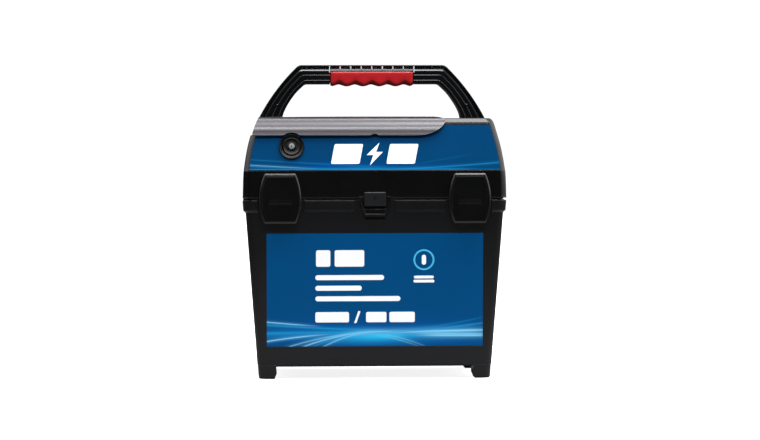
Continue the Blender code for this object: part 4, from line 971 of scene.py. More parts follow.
def ring_mark(cx, cz, r0, r1, surface, n=56, lift=0.10):
    """Closed flat ring."""
    rings = []
    for r, l in ((r0, -0.03), (r0, lift), (r1, lift), (r1, -0.03)):
        rings.append([surface(cx + r * math.cos(2 * math.pi * i / n), cz + r * math.sin(2 * math.pi * i / n), l)
                      for i in range(n)])
    return loft_data(rings, close=True)


place(emit("front_label_ring", ring_mark(52.7, 128.6, 9.4, 11.3, on_front), M_CYAN), "base", "label_blue")


# ------------------------------------------------------------ lid
LID_SIDE = ((195.2, 141.9), (203.0, 141.7), (216.0, 141.4), (223.6, 140.9), (229.0, 140.2), (235.5, 139.3),
            (242.0, 138.2), (248.5, 137.0), (257.0, 135.0), (261.5, 133.7), (269.6, 131.5), (274.4, 130.1),
            (277.2, 129.0), (279.4, 127.6), (280.6, 126.2), (281.0, 124.8))


def lid_half(z):
    """Half width of the lid: a smooth curve through its stations."""
    pts = LID_SIDE
    if z <= pts[0][0]:
        return pts[0][1]
    if z >= pts[-1][0]:
        return pts[-1][1]
    for k in range(len(pts) - 1):
        (z0, w0), (z1, w1) = pts[k], pts[k + 1]
        if z <= z1:
            d = (w1 - w0) / (z1 - z0)
            dl = (w0 - pts[k - 1][1]) / (z0 - pts[k - 1][0]) if k else d
            dr = (pts[k + 2][1] - w1) / (pts[k + 2][0] - z1) if k + 2 < len(pts) else d
            m0, m1 = (d + dl) / 2, (d + dr) / 2
            t, h = (z - z0) / (z1 - z0), z1 - z0
            return ((2 * t ** 3 - 3 * t * t + 1) * w0 + (t ** 3 - 2 * t * t + t) * h * m0 +
                    (3 * t * t - 2 * t ** 3) * w1 + (t ** 3 - t * t) * h * m1)


def lid_front(z):
    if z <= STEP_Z:
        return -LID_HALF_D
    if z <= PANEL_Z:
        t = (z - STEP_Z) / (PANEL_Z - STEP_Z)
        return -LID_HALF_D + (PANEL_Y + LID_HALF_D) * (1.0 - math.sqrt(1.0 - t * t))
    if z <= CHAMFER_Z:
        return PANEL_Y + (z - PANEL_Z) * math.tan(TILT)
    y0 = PANEL_Y + (CHAMFER_Z - PANEL_Z) * math.tan(TILT)
    t = (z - CHAMFER_Z) / (LID_TOP_Z - CHAMFER_Z)
    return y0 + 3.6 * t + 0.9 * (1.0 - math.sqrt(max(0.0, 1.0 - max(0.0, (t - 0.78) / 0.22) ** 2)))


def lid_back(z):
    if z <= LID_BAND_Z:
        return LID_HALF_D
    if z <= 229.0:
        return LID_HALF_D + (REAR_Y - LID_HALF_D) * smooth01((z - LID_BAND_Z) / (229.0 - LID_BAND_Z))
    if z <= 264.0:
        return REAR_Y
    t = (z - 264.0) / (LID_TOP_Z - 264.0)
    return REAR_Y - 9.0 * (1.0 - math.sqrt(max(0.0, 1.0 - t * t)))


def lid_ring(z, off=0.0, r=9.0):
    return round_rect(z, lid_half(z) - off, lid_front(z) + off * 1.03, lid_back(z) - off, r)


def label_half(v):
    return lid_half(PANEL_Z + v * math.cos(TILT)) - 5.9


V0, V1 = 0.4, 50.2


def build_lid():
    outer = []
    for z, off in ((LID_Z, 0.25), (LID_Z + 0.08, 0.03), (LID_Z + 0.20, -0.08), (LID_Z + 0.40, -0.13),
                   (LID_Z + 0.62, -0.10), (LID_Z + 0.84, -0.04), (LID_Z + 1.05, 0.0)):
        outer.append(lid_ring(z, off))
    zs = [200.0, 208.0, 216.0, 222.0, 223.2, 223.6, 224.0, 224.5, 224.7, 224.85, 224.95, 225.0, 225.6, 227.0, 229.0]
    zs += [229.0 + 35.0 * i / 14 for i in range(1, 15)]
    zs += [266.0, 268.0, 270.0, 272.0, 273.4, 274.4, 275.6, 276.3, 276.6, 276.9, 277.6, 278.6, 279.4, 280.0]
    zs += [280.035 + (LID_TOP_Z - 280.035) * math.sin(math.radians(90.0 * i / 8)) for i in range(1, 9)]
    outer += [lid_ring(z) for z in zs]
    inner = [lid_ring(z, 3.0, 6.0) for z in (195.2, 216.0, 223.0, 226.0, 229.5, 248.5, 264.0, 272.0,
                                             LID_TOP_Z - 3.5)]
    inner[0] = lid_ring(195.2, 2.9, 6.0)
    lid = emit("lid_moulding", loft_data(inner[::-1] + outer), M_LID)

    rings = []
    for lift in (-0.8, 2.5):
        pts = []
        for i in range(13):
            v = V0 + (V1 - V0) * i / 12 + (-0.4 if i == 0 else 0.4 if i == 12 else 0.0)
            pts.append((label_half(v) + 0.4, v, lift))
        pts += [(-x, v, z) for x, v, z in pts[::-1]]
        rings.append(pts)
    cut(lid, on_panel(loft_data(rings)))
    shoulder = [(-133.4, 262.7), (-132.2, 263.0), (-131.3, 263.6), (-130.8, 264.6), (-130.3, 266.3), (-129.6, 269.0),
                (-128.5, 272.2), (-127.2, 275.6), (-125.9, 278.6), (-124.5, 281.2), (-123.6, 284.0),
                (-150.0, 284.0), (-150.0, 262.6)]
    cut(lid, prism_data(shoulder, -115.0, 115.0, "y"))
    cut(lid, on_panel(cylinder_data("z", (0, 0), BARREL_R + 0.3, -14, 6, 56), SWITCH_X, SWITCH_V))
    cut(lid, on_panel(block_data(-3.9, 3.9, -2.2, 2.2, -12, 6), 0, 39.0))

    # tongue with a raised border
    w0, w1, z0, z1, zt = 16.4, 11.9, 176.5, 189.4, LID_Z + 1.6

    def tongue(inset, y):
        a = w1 - inset * 0.95
        pts = [(-a + 1.0, z0 + inset), (a - 1.0, z0 + inset), (a - 0.25, z0 + inset + 0.3), (a + 0.1, z0 + inset + 1.1),
               (w0 - inset, z1), (w0 - inset, zt), (-w0 + inset, zt), (-w0 + inset, z1),
               (-a - 0.1, z0 + inset + 1.1), (-a + 0.25, z0 + inset + 0.3)]
        return [(x, y, z) for x, z in pts]
    add(lid, loft_data([tongue(0.0, -98.45), tongue(0.0, -100.9), tongue(0.35, -101.45), tongue(0.9, -101.6),
                        tongue(1.3, -101.45), tongue(1.6, -100.95)]))
    cut(lid, block_data(-CATCH_W - 0.3, CATCH_W + 0.3, -104.0, -99.4, CATCH_Z0 - 3.4, CATCH_Z1 + 0.3))
    cut(lid, block_data(-CATCH_W + 0.2, CATCH_W - 0.2, -101.0, -97.9, CATCH_Z0 - 3.2, CATCH_Z0 - 0.1))
    cut(lid, join_data(*[block_data(s * LATCH_X - 13.0, s * LATCH_X + 13.0, -104.0, -98.7, LID_Z - 3.0, 220.4)
                         for s in (1, -1)]))

    knuckles = []
    for s in (1, -1):
        poly = [(HINGE_Y - 5.6, HINGE_Z + 12.0), (HINGE_Y - 5.6, HINGE_Z + 4.4), (HINGE_Y - 2.6, HINGE_Z + 2.03)]
        poly += [(HINGE_Y + 3.3 * math.cos(math.radians(150.0 + 210.0 * i / 24)),
                  HINGE_Z + 3.3 * math.sin(math.radians(150.0 + 210.0 * i / 24))) for i in range(25)]
        poly += [(HINGE_Y + 3.3, HINGE_Z + 3.0)]
        knuckles.append(prism_data(poly, s * HINGE_X - 6.0, s * HINGE_X + 6.0, "x"))
    add(lid, join_data(*knuckles))
    cut(lid, join_data(*[cylinder_data("x", (HINGE_Y, HINGE_Z), 1.8, s * HINGE_X - 8.0, s * HINGE_X + 8.0, 28)
                         for s in (1, -1)]))
    cut(lid, join_data(*[cylinder_data("y", (s * TERMINAL_X, TERMINAL_Z), 3.4, 85, 105, 32) for s in (1, -1)]))
    # shallow round seats for the terminals, with a moulded rim
    seats = []
    for s in (1, -1):
        fr = axis_frame((s * TERMINAL_X, REAR_Y, TERMINAL_Z), (0, 1, 0))
        v, f = tube_data([(15.2, -0.5), (15.2, 0.4), (14.8, 0.9), (14.0, 0.9), (13.6, 0.4), (13.6, -0.5)], 64)
        seats.append(([tuple(fr @ Vector(p)) for p in v], f))
    add(lid, join_data(*seats))
    return lid


lid_moulding = place(build_lid(), "lid", "lid_black", "lid_shell")


def build_top_label():
    rings = []
    for lift, inset in ((-0.5, 0.0), (-0.08, 0.0), (0.0, 0.08)):
        pts = []
        for i in range(13):
            v = V0 + inset + (V1 - V0 - 2 * inset) * i / 12
            pts.append((label_half(v) - inset, v, lift))
        pts += [(-x, v, z) for x, v, z in pts[::-1]]
        rings.append(pts)
    ob = emit("top_label_sheet", loft_data(rings), M_TOP_PRINT, at=panel_frame(0, 0))
    cut(ob, on_panel(cylinder_data("z", (0, 0), BARREL_R + 0.6, -4, 6, 56), SWITCH_X, SWITCH_V))
    cut(ob, on_panel(block_data(-3.9, 3.9, -2.2, 2.2, -4, 6), 0, 39.0))
    return ob


place(build_top_label(), "lid", "label_blue", "top_label")

# plain emblem: a spark between two slanted blocks
emblem = [mark_data(bar(-45.0, -14.5, 232.0, 253.2, 1.5, slant=0.20), on_slope),
          mark_data(bar(14.5, 45.0, 232.0, 253.2, 1.5, slant=0.20), on_slope),
          mark_data([(5.2, 254.6), (-8.6, 241.4), (-1.6, 241.4), (-5.2, 230.6), (8.6, 244.6), (1.4, 244.6)], on_slope)]
place(emit("top_label_print", join_data(*emblem), M_WHITE), "lid", "label_blue")


# ------------------------------------------------------------ lid floor and seal
def build_floor_plate():
    z0, z1 = FP_LO[2], 199.9

    def ring(z, off):
        return round_rect(z, lid_half(198) - 3.0 - off, -LID_HALF_D + 3.09 + off, LID_HALF_D - 3.0 - off, 5.6)
    plate = emit("lid_floor_panel", loft_data([ring(z0, 0.8), ring(z0 + 0.5, 0.3), ring(z1, 0.3)]), M_INNER)
    ribs = []
    for x in (-96.0, -58.0, 0.0, 70.0, 104.0):
        ribs.append(block_data(x - 1.0, x + 1.0, -84.0, 46.0, z0 - 0.9, z0 + 0.6))
    add(plate, join_data(*ribs))
    pegs = [cylinder_data("z", (x, y), 3.2, 199.0, FP_HI[2], 24) for x in (-76, 76) for y in (-44, 52)]
    add(plate, join_data(*pegs))
    cut(plate, join_data(*[cylinder_data("z", (sx * 131.0, sy * 89.5), 2.3, 190, 205, 24)
                           for sx in (1, -1) for sy in (1, -1)]))
    cut(plate, cylinder_data("z", (POST_X - 31.0, 72.0), 6.3, 190, 205, 32))
    return plate


place(build_floor_plate(), "lid", "lid_black", "lid_floor_plate")


def seal_ring(z, off):
    hx, hy = box_half(193.6)
    return round_rect(z, hx - 1.3 + off, -(hy - 1.3 + off), hy - 1.3 + off, 7.5 + off, 12)


seal = [seal_ring(194.0 + 2.8 * i / 12, 0.2 + 0.18 * math.sin(math.pi * i / 12)) for i in range(13)]
seal += [seal_ring(196.8 - 2.8 * i / 12, -1.25 - 0.18 * math.sin(math.pi * i / 12)) for i in range(13)]
place(emit("lid_seal_strip", loft_data(seal, close=True), M_SEAL, smooth=60), "lid", "seal_rubber", "lid_seal")


# ------------------------------------------------------------ hood
HX0, HX1, HLOW = HD_LO[0], HD_HI[0], HD_LO[2]


HOOD_LOW = HLOW + 0.1


def hood_outer():
    """Outer section in (y, z): rear lip, low groove, round roll, crease, leaning lower band."""
    pts = [(-55.0, 281.35), (-55.8, 281.9), (-57.0, 282.65), (-59.5, 283.0), (-64.0, 283.2), (-72.3, 283.2),
           (-72.9, 283.0), (-73.4, 282.5), (-73.5, 282.2), (-73.5, 280.5), (-74.3, 280.5)]
    r, cy = 18.3, -75.2
    cz = 282.1 - r
    for i in range(29):
        a = math.radians(90.0 - 80.0 * i / 28)
        pts.append((cy - r * math.cos(a), cz + (r - 1.15 * smooth01((a - 0.5) / 1.0)) * math.sin(a)))
    yb = pts[-1][0]
    pts += [(yb + 0.05, 266.6), (yb - 0.08, 266.1), (yb - 0.26, 265.2), (yb - 0.45, 264.2),
            (yb - 0.68, 263.5), (yb - 0.77, 263.1), (yb - 0.72, 262.7), (yb - 0.40, HOOD_LOW)]
    return pts


def spline(pts, n=8):
    """Catmull-Rom curve through the points."""
    ext = [pts[0]] + list(pts) + [pts[-1]]
    out = []
    for k in range(1, len(ext) - 2):
        p0, p1, p2, p3 = ext[k - 1:k + 3]
        for i in range(n):
            t = i / n
            out.append(tuple(0.5 * (2 * p1[j] + (p2[j] - p0[j]) * t + (2 * p0[j] - 5 * p1[j] + 4 * p2[j] - p3[j]) * t * t +
                                    (3 * p1[j] - p0[j] - 3 * p2[j] + p3[j]) * t ** 3) for j in (0, 1)))
    return out + [tuple(pts[-1])]


def build_hood():
    out = hood_outer()
    front = sorted(((z, y) for y, z in out if y < -76.0))

    def outer_y(z):
        for (z0, y0), (z1, y1) in zip(front, front[1:]):
            if z <= z1:
                return y0 + (y1 - y0) * max(0.0, z - z0) / max(1e-6, z1 - z0)
        return front[-1][1]
    inner = [(-57.5, LID_TOP_Z + 0.15), (-79.0, LID_TOP_Z + 0.15)]
    for z in (280.9, 280.4, 279.6, 278.6, 277.4, 276.0, 274.0, 272.0, 270.0, 268.0, 266.0, 264.0, 263.2, HOOD_LOW):
        inner.append((min(outer_y(min(z + 1.2, 281.8)) + 1.5, lid_front(z) - 0.3, inner[-1][0]), z))
    poly = out + inner[::-1]
    n = 48
    rings = [[(HX0 + (HX1 - HX0) * k / n, y, z) for y, z in poly] for k in range(n + 1)]
    hood = emit("hood_cover", loft_data(rings), M_HOOD)

    edge = spline([(36.0, 261.9), (44.0, 262.25), (51.1, 262.8), (59.3, 264.4), (66.7, 267.6), (72.5, 271.8),
                   (75.8, 275.6), (76.7, 278.2), (75.6, 280.4), (72.0, 282.0), (66.0, 283.1), (60.0, 283.8)])
    cut(hood, prism_data(edge + [(60.0, 290.0), (115.0, 290.0), (115.0, 250.0), (36.0, 250.0)], -120, -40, "y"))
    left = [(-132.6, 250.0), (-132.0, 262.0), (-131.3, 265.0), (-130.4, 268.0), (-129.6, 270.5), (-128.6, 273.0),
            (-127.5, 276.0), (-126.2, 279.0), (-124.9, 281.5), (-123.6, 284.0), (-150.0, 284.0), (-150.0, 250.0)]
    cut(hood, prism_data(left, -120, -40, "y"))
    cut(hood, on_panel(cylinder_data("z", (0, 0), BEZEL_R + 1.1, -6, 40, 72), SWITCH_X, SWITCH_V))
    notch = [(-5.0, 255.0), (5.0, 255.0)]
    notch += [(4.6 * math.cos(math.radians(180.0 * i / 24)), 262.0 + 2.2 * math.sin(math.radians(180.0 * i / 24)))
              for i in range(25)]
    cut(hood, prism_data(notch, -120, -80, "y"))
    # slight crown along its length
    for v in hood.data.vertices:
        if v.co.z > 0.2821:
            v.co.z -= 0.0008 * (v.co.x / 0.125) ** 2 * smooth01((v.co.z - 0.2821) / 0.0009)
    return hood


hood = place(build_hood(), "lid", "hood_black", "hood")


# ------------------------------------------------------------ handle
def arc_chain(start, steps):
    x, z = start
    head = 0.0
    pts = [(x, z)]
    for s in steps:
        if s[0] == "line":
            for k in range(1, s[2] + 1):
                pts.append((x + s[1] * math.cos(head) * k / s[2], z - s[1] * math.sin(head) * k / s[2]))
            x, z = pts[-1]
        else:
            _, r, deg, n = s
            cx, cz = x - r * math.sin(head), z - r * math.cos(head)
            for k in range(1, n + 1):
                h = head + math.radians(deg) * k / n
                pts.append((cx + r * math.sin(h), cz + r * math.cos(h)))
            head += math.radians(deg)
            x, z = pts[-1]
    return pts


def handle_pairs():
    outer = arc_chain((0, HANDLE_TOP), [("line", 77.0, 1), ("arc", 8.0, 44.0, 10), ("arc", 215.0, 17.6, 18)])
    inner = arc_chain((0, HANDLE_TOP - HANDLE_T), [("line", 70.9, 1), ("arc", 6.0, 42.0, 10)])
    leg = [inner[-1], (79.6, 313.6), (84.0, 309.0), (88.8, 302.4), (93.2, 295.4), (96.6, 288.4), (98.0, 283.4)]
    inner += spline(leg, 3)[1:]
    pairs = list(zip(outer, inner))
    end_o, end_i = pairs[-1]
    base = HA_LO[2]
    ho = math.radians(61.6)
    for t in (0.33, 0.66, 1.0):
        zo = end_o[1] + (base - end_o[1]) * t
        zi = end_i[1] + (base - end_i[1]) * t
        pairs.append(((end_o[0] + (end_o[1] - zo) / math.tan(ho), zo), (end_i[0] + (end_i[1] - zi) * 0.05, zi)))
    return pairs


FULL = [(0.000, 11.0), (0.010, 11.7), (0.028, 12.0), (0.055, 12.0), (0.066, 11.8), (0.076, 11.0), (0.084, 10.0),
        (0.100, 9.8), (0.175, 9.8), (0.188, 10.1), (0.238, 11.72), (0.248, 11.93), (0.308, 12.34), (0.318, 12.38),
        (0.520, 12.50), (0.526, 12.55), (0.539, 12.78), (0.545, 12.82), (0.795, 13.00), (0.801, 13.05),
        (0.814, 13.28), (0.820, 13.32), (0.940, 13.4), (0.972, 13.3), (0.992, 12.9), (1.0, 12.3)]
WAIST = [(0.000, 11.0), (0.010, 11.7), (0.028, 12.0), (0.055, 12.0), (0.066, 11.8), (0.076, 11.0), (0.084, 10.0),
         (0.100, 9.8), (0.175, 9.8), (0.188, 10.0), (0.230, 11.0), (0.240, 11.12), (0.285, 11.48), (0.295, 11.5),
         (0.400, 11.5), (0.42, 11.5), (0.45, 11.5), (0.48, 11.5), (0.52, 11.5), (0.56, 11.5),
         (0.60, 11.5), (0.64, 11.5), (0.68, 11.5), (0.72, 11.5), (0.77, 11.4), (0.80, 11.0)]


def section(o, i, prof):
    front = [(f, -h) for f, h in prof]
    back = [(f, h) for f, h in prof[::-1]]
    return [(o[0] + (i[0] - o[0]) * f, HANDLE_Y + y, o[1] + (i[1] - o[1]) * f) for f, y in front + back]


def build_handle():
    pairs = handle_pairs()
    half = []
    x = GRIP_HALF - 0.6
    top, low = HANDLE_TOP, HANDLE_TOP - HANDLE_T
    half.append(section((0.02, top), (0.02, low), WAIST))
    half.append(section((x, top), (x, low), WAIST))
    half.append(section((x + 0.25, top), (x + 0.25, low),
                        [((a[0] + b[0]) / 2, (a[1] + b[1]) / 2) for a, b in zip(WAIST, FULL)]))
    half.append(section((x + 0.6, top), (x + 0.6, low), FULL))
    half.append(section((62.0, top), (60.0, low), FULL))
    for o, i in pairs[1:]:
        half.append(section(o, i, FULL))
    mirrored = [[(-p[0], p[1], p[2]) for p in ring] for ring in half[::-1]]
    handle = emit("handle_arch", loft_data(mirrored + half), M_HANDLE)
    # small moulded rivet heads on the legs
    heads = []
    for s in (1, -1):
        for face in (-1, 1):
            v, f = turned_data([(1.5, -1.2), (1.5, 0.35), (1.25, 0.75), (0.7, 0.95), (0.2, 1.0)], 24)
            fr = axis_frame((s * 104.0, HANDLE_Y + face * 13.0, 296.0), (0, face, 0))
            heads.append(([tuple(fr @ Vector(p)) for p in v], f))
    add(handle, join_data(*heads))
    return handle


handle = place(build_handle(), "lid", "lid_black", "handle_frame")


def build_ribs():
    """Nine short ribs standing in the channel over the grip, on both faces; their light grey is a painted highlight."""
    ribs = []
    for k in range(-4, 5):
        xc = (GRIP_HALF + 0.35) / 4.0 * k
        low, lift = (8.4, 0.5) if abs(k) == 4 else (5.1, 0.0)
        for s in (1, -1):
            rings = []
            for dx, inset in ((-0.60, 0.25), (-0.45, 0.0), (0.45, 0.0), (0.60, 0.25)):
                sect = [(9.2, HANDLE_TOP - 1.1), (11.4 - inset, HANDLE_TOP - 1.1), (11.9 - inset, HANDLE_TOP - 1.5),
                        (12.25 + lift - inset, HANDLE_TOP - low + 0.5), (12.1 + lift - inset, HANDLE_TOP - low),
                        (9.2, HANDLE_TOP - low)]
                rings.append([(xc + dx, HANDLE_Y + s * y, z) for y, z in sect])
            ribs.append(loft_data(rings))
    return emit("handle_rib_set", join_data(*ribs), M_RIB_PAINTED_HIGHLIGHT)


place(build_ribs(), "lid", "lid_black")


def build_grip():
    top = HANDLE_TOP - 0.345 * HANDLE_T
    half = GRIP_HALF - 1.0
    inner_z = HANDLE_TOP - 0.80 * HANDLE_T - 0.3
    low = GR_LO[2]
    yo, yi = HANDLE_H + 1.3, HANDLE_H - 1.5 + 0.3
    rings = []
    n = 184
    for k in range(n + 1):
        x = -half + 2 * half * k / n
        wave = 0.5 - 0.5 * math.cos(2 * math.pi * x / 18.0)
        wave = wave ** 0.8
        end = smooth01((half - abs(x)) / 2.6)
        scoop = (1.0 - wave) * smooth01((half - abs(x)) / 3.0)
        z = low + 2.1 * scoop + 0.9 * (1 - end)
        side = yo - 0.9 * (1 - end)
        t = top - 0.5 * (1 - end)
        front = [(yi, t), (side - 1.9, t), (side - 1.1, t - 0.15), (side - 0.45, t - 0.6), (side - 0.1, t - 1.3),
                 (side, t - 2.2), (side, t - 4.2), (side, z + 4.9), (side - 0.25 - 0.9 * scoop, z + 3.2 + 0.5 * scoop),
                 (side - 0.9 - 1.6 * scoop, z + 1.9 + 0.3 * scoop), (side - 2.0 - 1.8 * scoop, z + 0.8 + 0.2 * scoop),
                 (side - 3.6 - 1.4 * scoop, z + 0.2), (side - 6.0, z)]
        prof = [(-y, zz) for y, zz in front] + [(y, zz) for y, zz in front[::-1]] + [(yi, inner_z), (-yi, inner_z)]
        rings.append([(x, HANDLE_Y + y, zz) for y, zz in prof])
    return emit("handle_grip_sleeve", loft_data(rings), M_GRIP, smooth=45)


place(build_grip(), "lid", "grip_red", "handle_grip")


# ------------------------------------------------------------ latches
def latch_half(z):
    d = (z - 194.6) / (221.7 - 194.6)
    return 22.4 - 5.9 * d * d


def build_latch(name, s):
    """Moulded plate: its face is a height field with a raised rim, a dish and a finger ridge."""
    xc = s * LATCH_X
    nz, nx = 84, 60
    levels = []
    for j in range(nz + 1):
        t = j / nz
        levels.append(LATCH_Z0 + (LATCH_Z1 - LATCH_Z0) * (0.5 - 0.5 * math.cos(math.pi * t)) * 0.35 +
                      (LATCH_Z1 - LATCH_Z0) * t * 0.65)
    rings = []
    for z in levels:
        edge_z = min(z - LATCH_Z0, LATCH_Z1 - z)
        w = latch_half(z)
        r = 0.9
        if edge_z < r:
            w -= r - math.sqrt(max(0.0, r * r - (r - edge_z) ** 2))
        back = LATCH_BACK if z > 177.0 else LATCH_BACK - 1.2 * smooth01((177.0 - z) / 0.6)
        ring = [(xc - w + 0.3, back, z), (xc - w, back - 0.3, z)]
        lower = z < 194.6
        for i in range(nx + 1):
            u = -math.cos(math.pi * i / nx) * 0.45 + (2.0 * i / nx - 1.0) * 0.55
            x = w * u
            ex = w - abs(x)
            edge = min(ex, edge_z * (1.0 if not lower else 0.85))
            # corners of the dish are cut off, more so at the bottom
            corner = (ex + edge_z * 0.9) / 1.9 if lower else (ex + edge_z) / 1.55
            d = min(edge, corner)
            rim = 1.15 * (1.0 - smooth01(d / 1.7))
            dish = 0.65 * smooth01((d - 1.9) / 2.4) * (0.15 + 0.85 * smooth01((z - LATCH_Z0 - 2.0) / 20.0))
            ridge = smooth01((13.4 - abs(x)) / 1.8) * math.exp(-((z - 191.2) / 2.0) ** 2) * 0.36
            y = LATCH_FRONT + rim + max(dish - ridge, 0.0)
            ring.append((xc + x, y, z))
        ring += [(xc + w, back - 0.3, z), (xc + w - 0.3, back, z)]
        rings.append(ring)
    latch = emit(name, loft_data(rings), M_LATCH, smooth=40)
    ears = [cylinder_data("x", (PIN_Y, PIN_Z), 3.2, *sorted((xc + e * 7.5, xc + e * 13.0)), n=40) for e in (1, -1)]
    add(latch, join_data(*ears), smooth=40)
    nose = [(LATCH_BACK - 0.6, 214.0), (-99.6, 215.3), (-99.4, 215.8), (-99.4, 218.2), (-99.6, 218.6),
            (LATCH_BACK - 0.6, 219.6)]
    add(latch, prism_data(nose, xc - 11.5, xc + 11.5, "x"), smooth=40)
    cut(latch, block_data(xc - 7.2, xc + 7.2, PIN_Y - 3.35, -90.0, 160.0, PIN_Z + 3.4), smooth=40)
    cut(latch, cylinder_data("x", (PIN_Y, PIN_Z), 1.7, xc - 20.0, xc + 20.0, 28), smooth=40)
    return latch


place(build_latch("latch_plate_left", -1), "left_latch", "lid_black", "latch_left")
place(build_latch("latch_plate_right", 1), "right_latch", "lid_black", "latch_right")
for side, s in (("left", -1), ("right", 1)):
    place(emit(f"latch_axle_{side}", rod_data("x", (PIN_Y, PIN_Z), 1.4, s * LATCH_X - 12.6, s * LATCH_X + 12.6, 0.4),
               M_STEEL, smooth=40), "base", "zinc_steel", f"latch_pin_{side}")
    place(emit(f"hinge_axle_{side}", rod_data("x", (HINGE_Y, HINGE_Z), 1.5, s * HINGE_X - 14.0, s * HINGE_X + 14.0, 0.4),
               M_STEEL, smooth=40), "base", "zinc_steel", f"hinge_pin_{side}")


# ------------------------------------------------------------ sliding catch
def build_catch():
    w, z0, z1 = CATCH_W, CATCH_Z0, CATCH_Z1
    rings = []
    for y, a in ((-99.7, 0.0), (-101.3, 0.0), (-101.75, 0.12), (-102.0, 0.45), (-102.1, 0.9)):
        zc, hz = (z0 + z1) / 2, (z1 - z0) / 2
        rings.append([(x, y, zc + z) for x, z in rounded_outline(w - a, hz - a, 1.2, 5)])
    slider = emit("catch_slide_tab", loft_data(rings), M_SLIDER, smooth=40)
    arrow = [(-1.0, 197.6), (-1.0, 195.4), (-2.5, 195.4), (0.0, 191.2), (2.5, 195.4), (1.0, 195.4), (1.0, 197.6)]
    cut(slider, prism_data(arrow, -104.0, -100.9, "y"), smooth=40)
    return slider


place(build_catch(), "catch", "lid_black", "catch_slider")


# ------------------------------------------------------------ push switch
SW = panel_frame(SWITCH_X, SWITCH_V, 0.3)
bezel = [(BEZEL_R - 0.25, 0.0), (BEZEL_R, 0.25), (BEZEL_R, 1.9), (BEZEL_R - 0.12, 2.15), (BEZEL_R - 0.35, 2.3),
         (BEZEL_R - 0.65, 2.22), (BEZEL_R - 1.15, 1.75), (BEZEL_R - 1.5, 1.65), (BUTTON_R + 0.8, 1.62),
         (BUTTON_R + 0.5, 1.45), (BUTTON_R + 0.4, 0.9),
         (BUTTON_R + 0.4, -13.0), (BARREL_R, -13.0), (BARREL_R, 0.0)]
place(emit("switch_bezel_ring", tube_data(bezel, 96), M_BEZEL, at=SW), "lid", "switch_black", "switch_bezel")


def build_nut():
    rings = []
    for r, z in ((14.4, -5.0), (15.4, -5.5), (15.6, -6.0), (15.6, -8.4), (15.0, -9.0)):
        ring = []
        for i in range(96):
            a = 2 * math.pi * i / 96
            k = math.cos(math.pi / 6) / math.cos((a % (math.pi / 3)) - math.pi / 6)
            ring.append((r * k * math.cos(a), r * k * math.sin(a), z))
        rings.append(ring)
    for r, z in ((BARREL_R + 0.3, -9.0), (BARREL_R + 0.3, -5.0)):
        rings.append(circle(r, 96, z))
    return emit("switch_ring_nut", loft_data(rings, close=True), M_BEZEL, at=SW)


place(build_nut(), "lid", "switch_black", "switch_nut")
cap = [(8.6, -6.4), (9.6, -6.4), (BUTTON_R, -6.0), (BUTTON_R, 1.6), (BUTTON_R - 0.15, 2.1), (BUTTON_R - 0.5, 2.45),
       (BUTTON_R - 0.95, 2.55), (BUTTON_R - 1.4, 2.45), (BUTTON_R - 1.9, 2.3), (6.0, 2.2), (4.7, 2.2), (4.1, 2.3),
       (3.8, 2.45), (3.6, 2.45), (3.5, 2.3), (3.5, 1.2)]
place(emit("power_button_cap", turned_data(cap, 96), M_BEZEL, at=SW), "button", "switch_black", "power_button")
lens = [(3.1, 1.5), (3.25, 1.7), (3.25, 2.5), (3.15, 2.72), (2.8, 2.88), (2.1, 3.0), (1.2, 3.07), (0.4, 3.1)]
place(emit("button_lens_dome", turned_data(lens, 48), M_LENS, at=SW, smooth=50), "button", "lens_clear", "button_lens")
mark = [[(x, y, 2.85) for x, y in rounded_outline(0.45, 1.6, 0.4, 4)],
        [(x, y, 3.20) for x, y in rounded_outline(0.40, 1.5, 0.35, 4)]]
place(emit("button_mark", loft_data(mark), M_BEZEL, at=SW), "button", "switch_black")
body = [(10.2, -24.0), (BARREL_R - 0.8, -23.5), (BARREL_R - 0.4, -22.8), (BARREL_R - 0.4, -13.9), (BARREL_R - 0.8, -13.4)]
place(emit("switch_housing", turned_data(body, 64), M_INNER, at=SW), "lid", "switch_black", "switch_body")

win = [[(x, y, -6.0) for x, y in rounded_outline(3.5, 1.8, 0.6, 5)],
       [(x, y, 0.5) for x, y in rounded_outline(3.5, 1.8, 0.6, 5)],
       [(x, y, 1.0) for x, y in rounded_outline(3.2, 1.5, 0.6, 5)],
       [(x, y, 1.3) for x, y in rounded_outline(2.6, 0.9, 0.5, 5)]]
place(emit("indicator_window", loft_data(win), M_DARKLENS, at=panel_frame(0, 39.0)), "lid", "lens_dark",
      "indicator_lens")


# ------------------------------------------------------------ terminals
def build_knob(name, fr, mat):
    n = 180

    def lobes(scale, z):
        out = []
        for i in range(n):
            a = 2 * math.pi * i / n
            r = (10.4 + 1.1 * math.cos(6 * a) + 0.12 * math.cos(30 * a)) * scale
            out.append((r * math.cos(a), r * math.sin(a), z))
        return out
    rings = [circle(3.35, n, 1.8), lobes(0.90, 1.8), lobes(0.96, 2.1), lobes(1.0, 2.9), lobes(1.0, 7.8),
             lobes(0.985, 8.6), lobes(0.95, 9.4), lobes(0.89, 9.9), lobes(0.82, 10.1), circle(7.2, n, 10.05),
             circle(6.6, n, 9.6), circle(5.4, n, 9.6), circle(5.0, n, 10.2), circle(4.4, n, 10.3), circle(3.5, n, 10.3),
             circle(3.35, n, 10.0)]
    return emit(name, loft_data(rings, close=True), mat, at=fr)


def thread(name, fr, r, z0, z1, tip, mat):
    """Threaded stud: a rolled thread as a wavy turned profile."""
    prof = [(6.2, -6.9), (6.2, -3.6), (5.9, -3.3), (r, -3.3)]
    z = z0
    while z < z1 - 0.5:
        prof += [(r - 0.28, z), (r, z + 0.25), (r, z + 0.35), (r - 0.28, z + 0.6)]
        z += 0.7
    prof += [(r - 0.2, z1), (r - 0.7, z1 + tip)]
    return emit(name, turned_data(prof, 48), mat, at=fr, smooth=25)


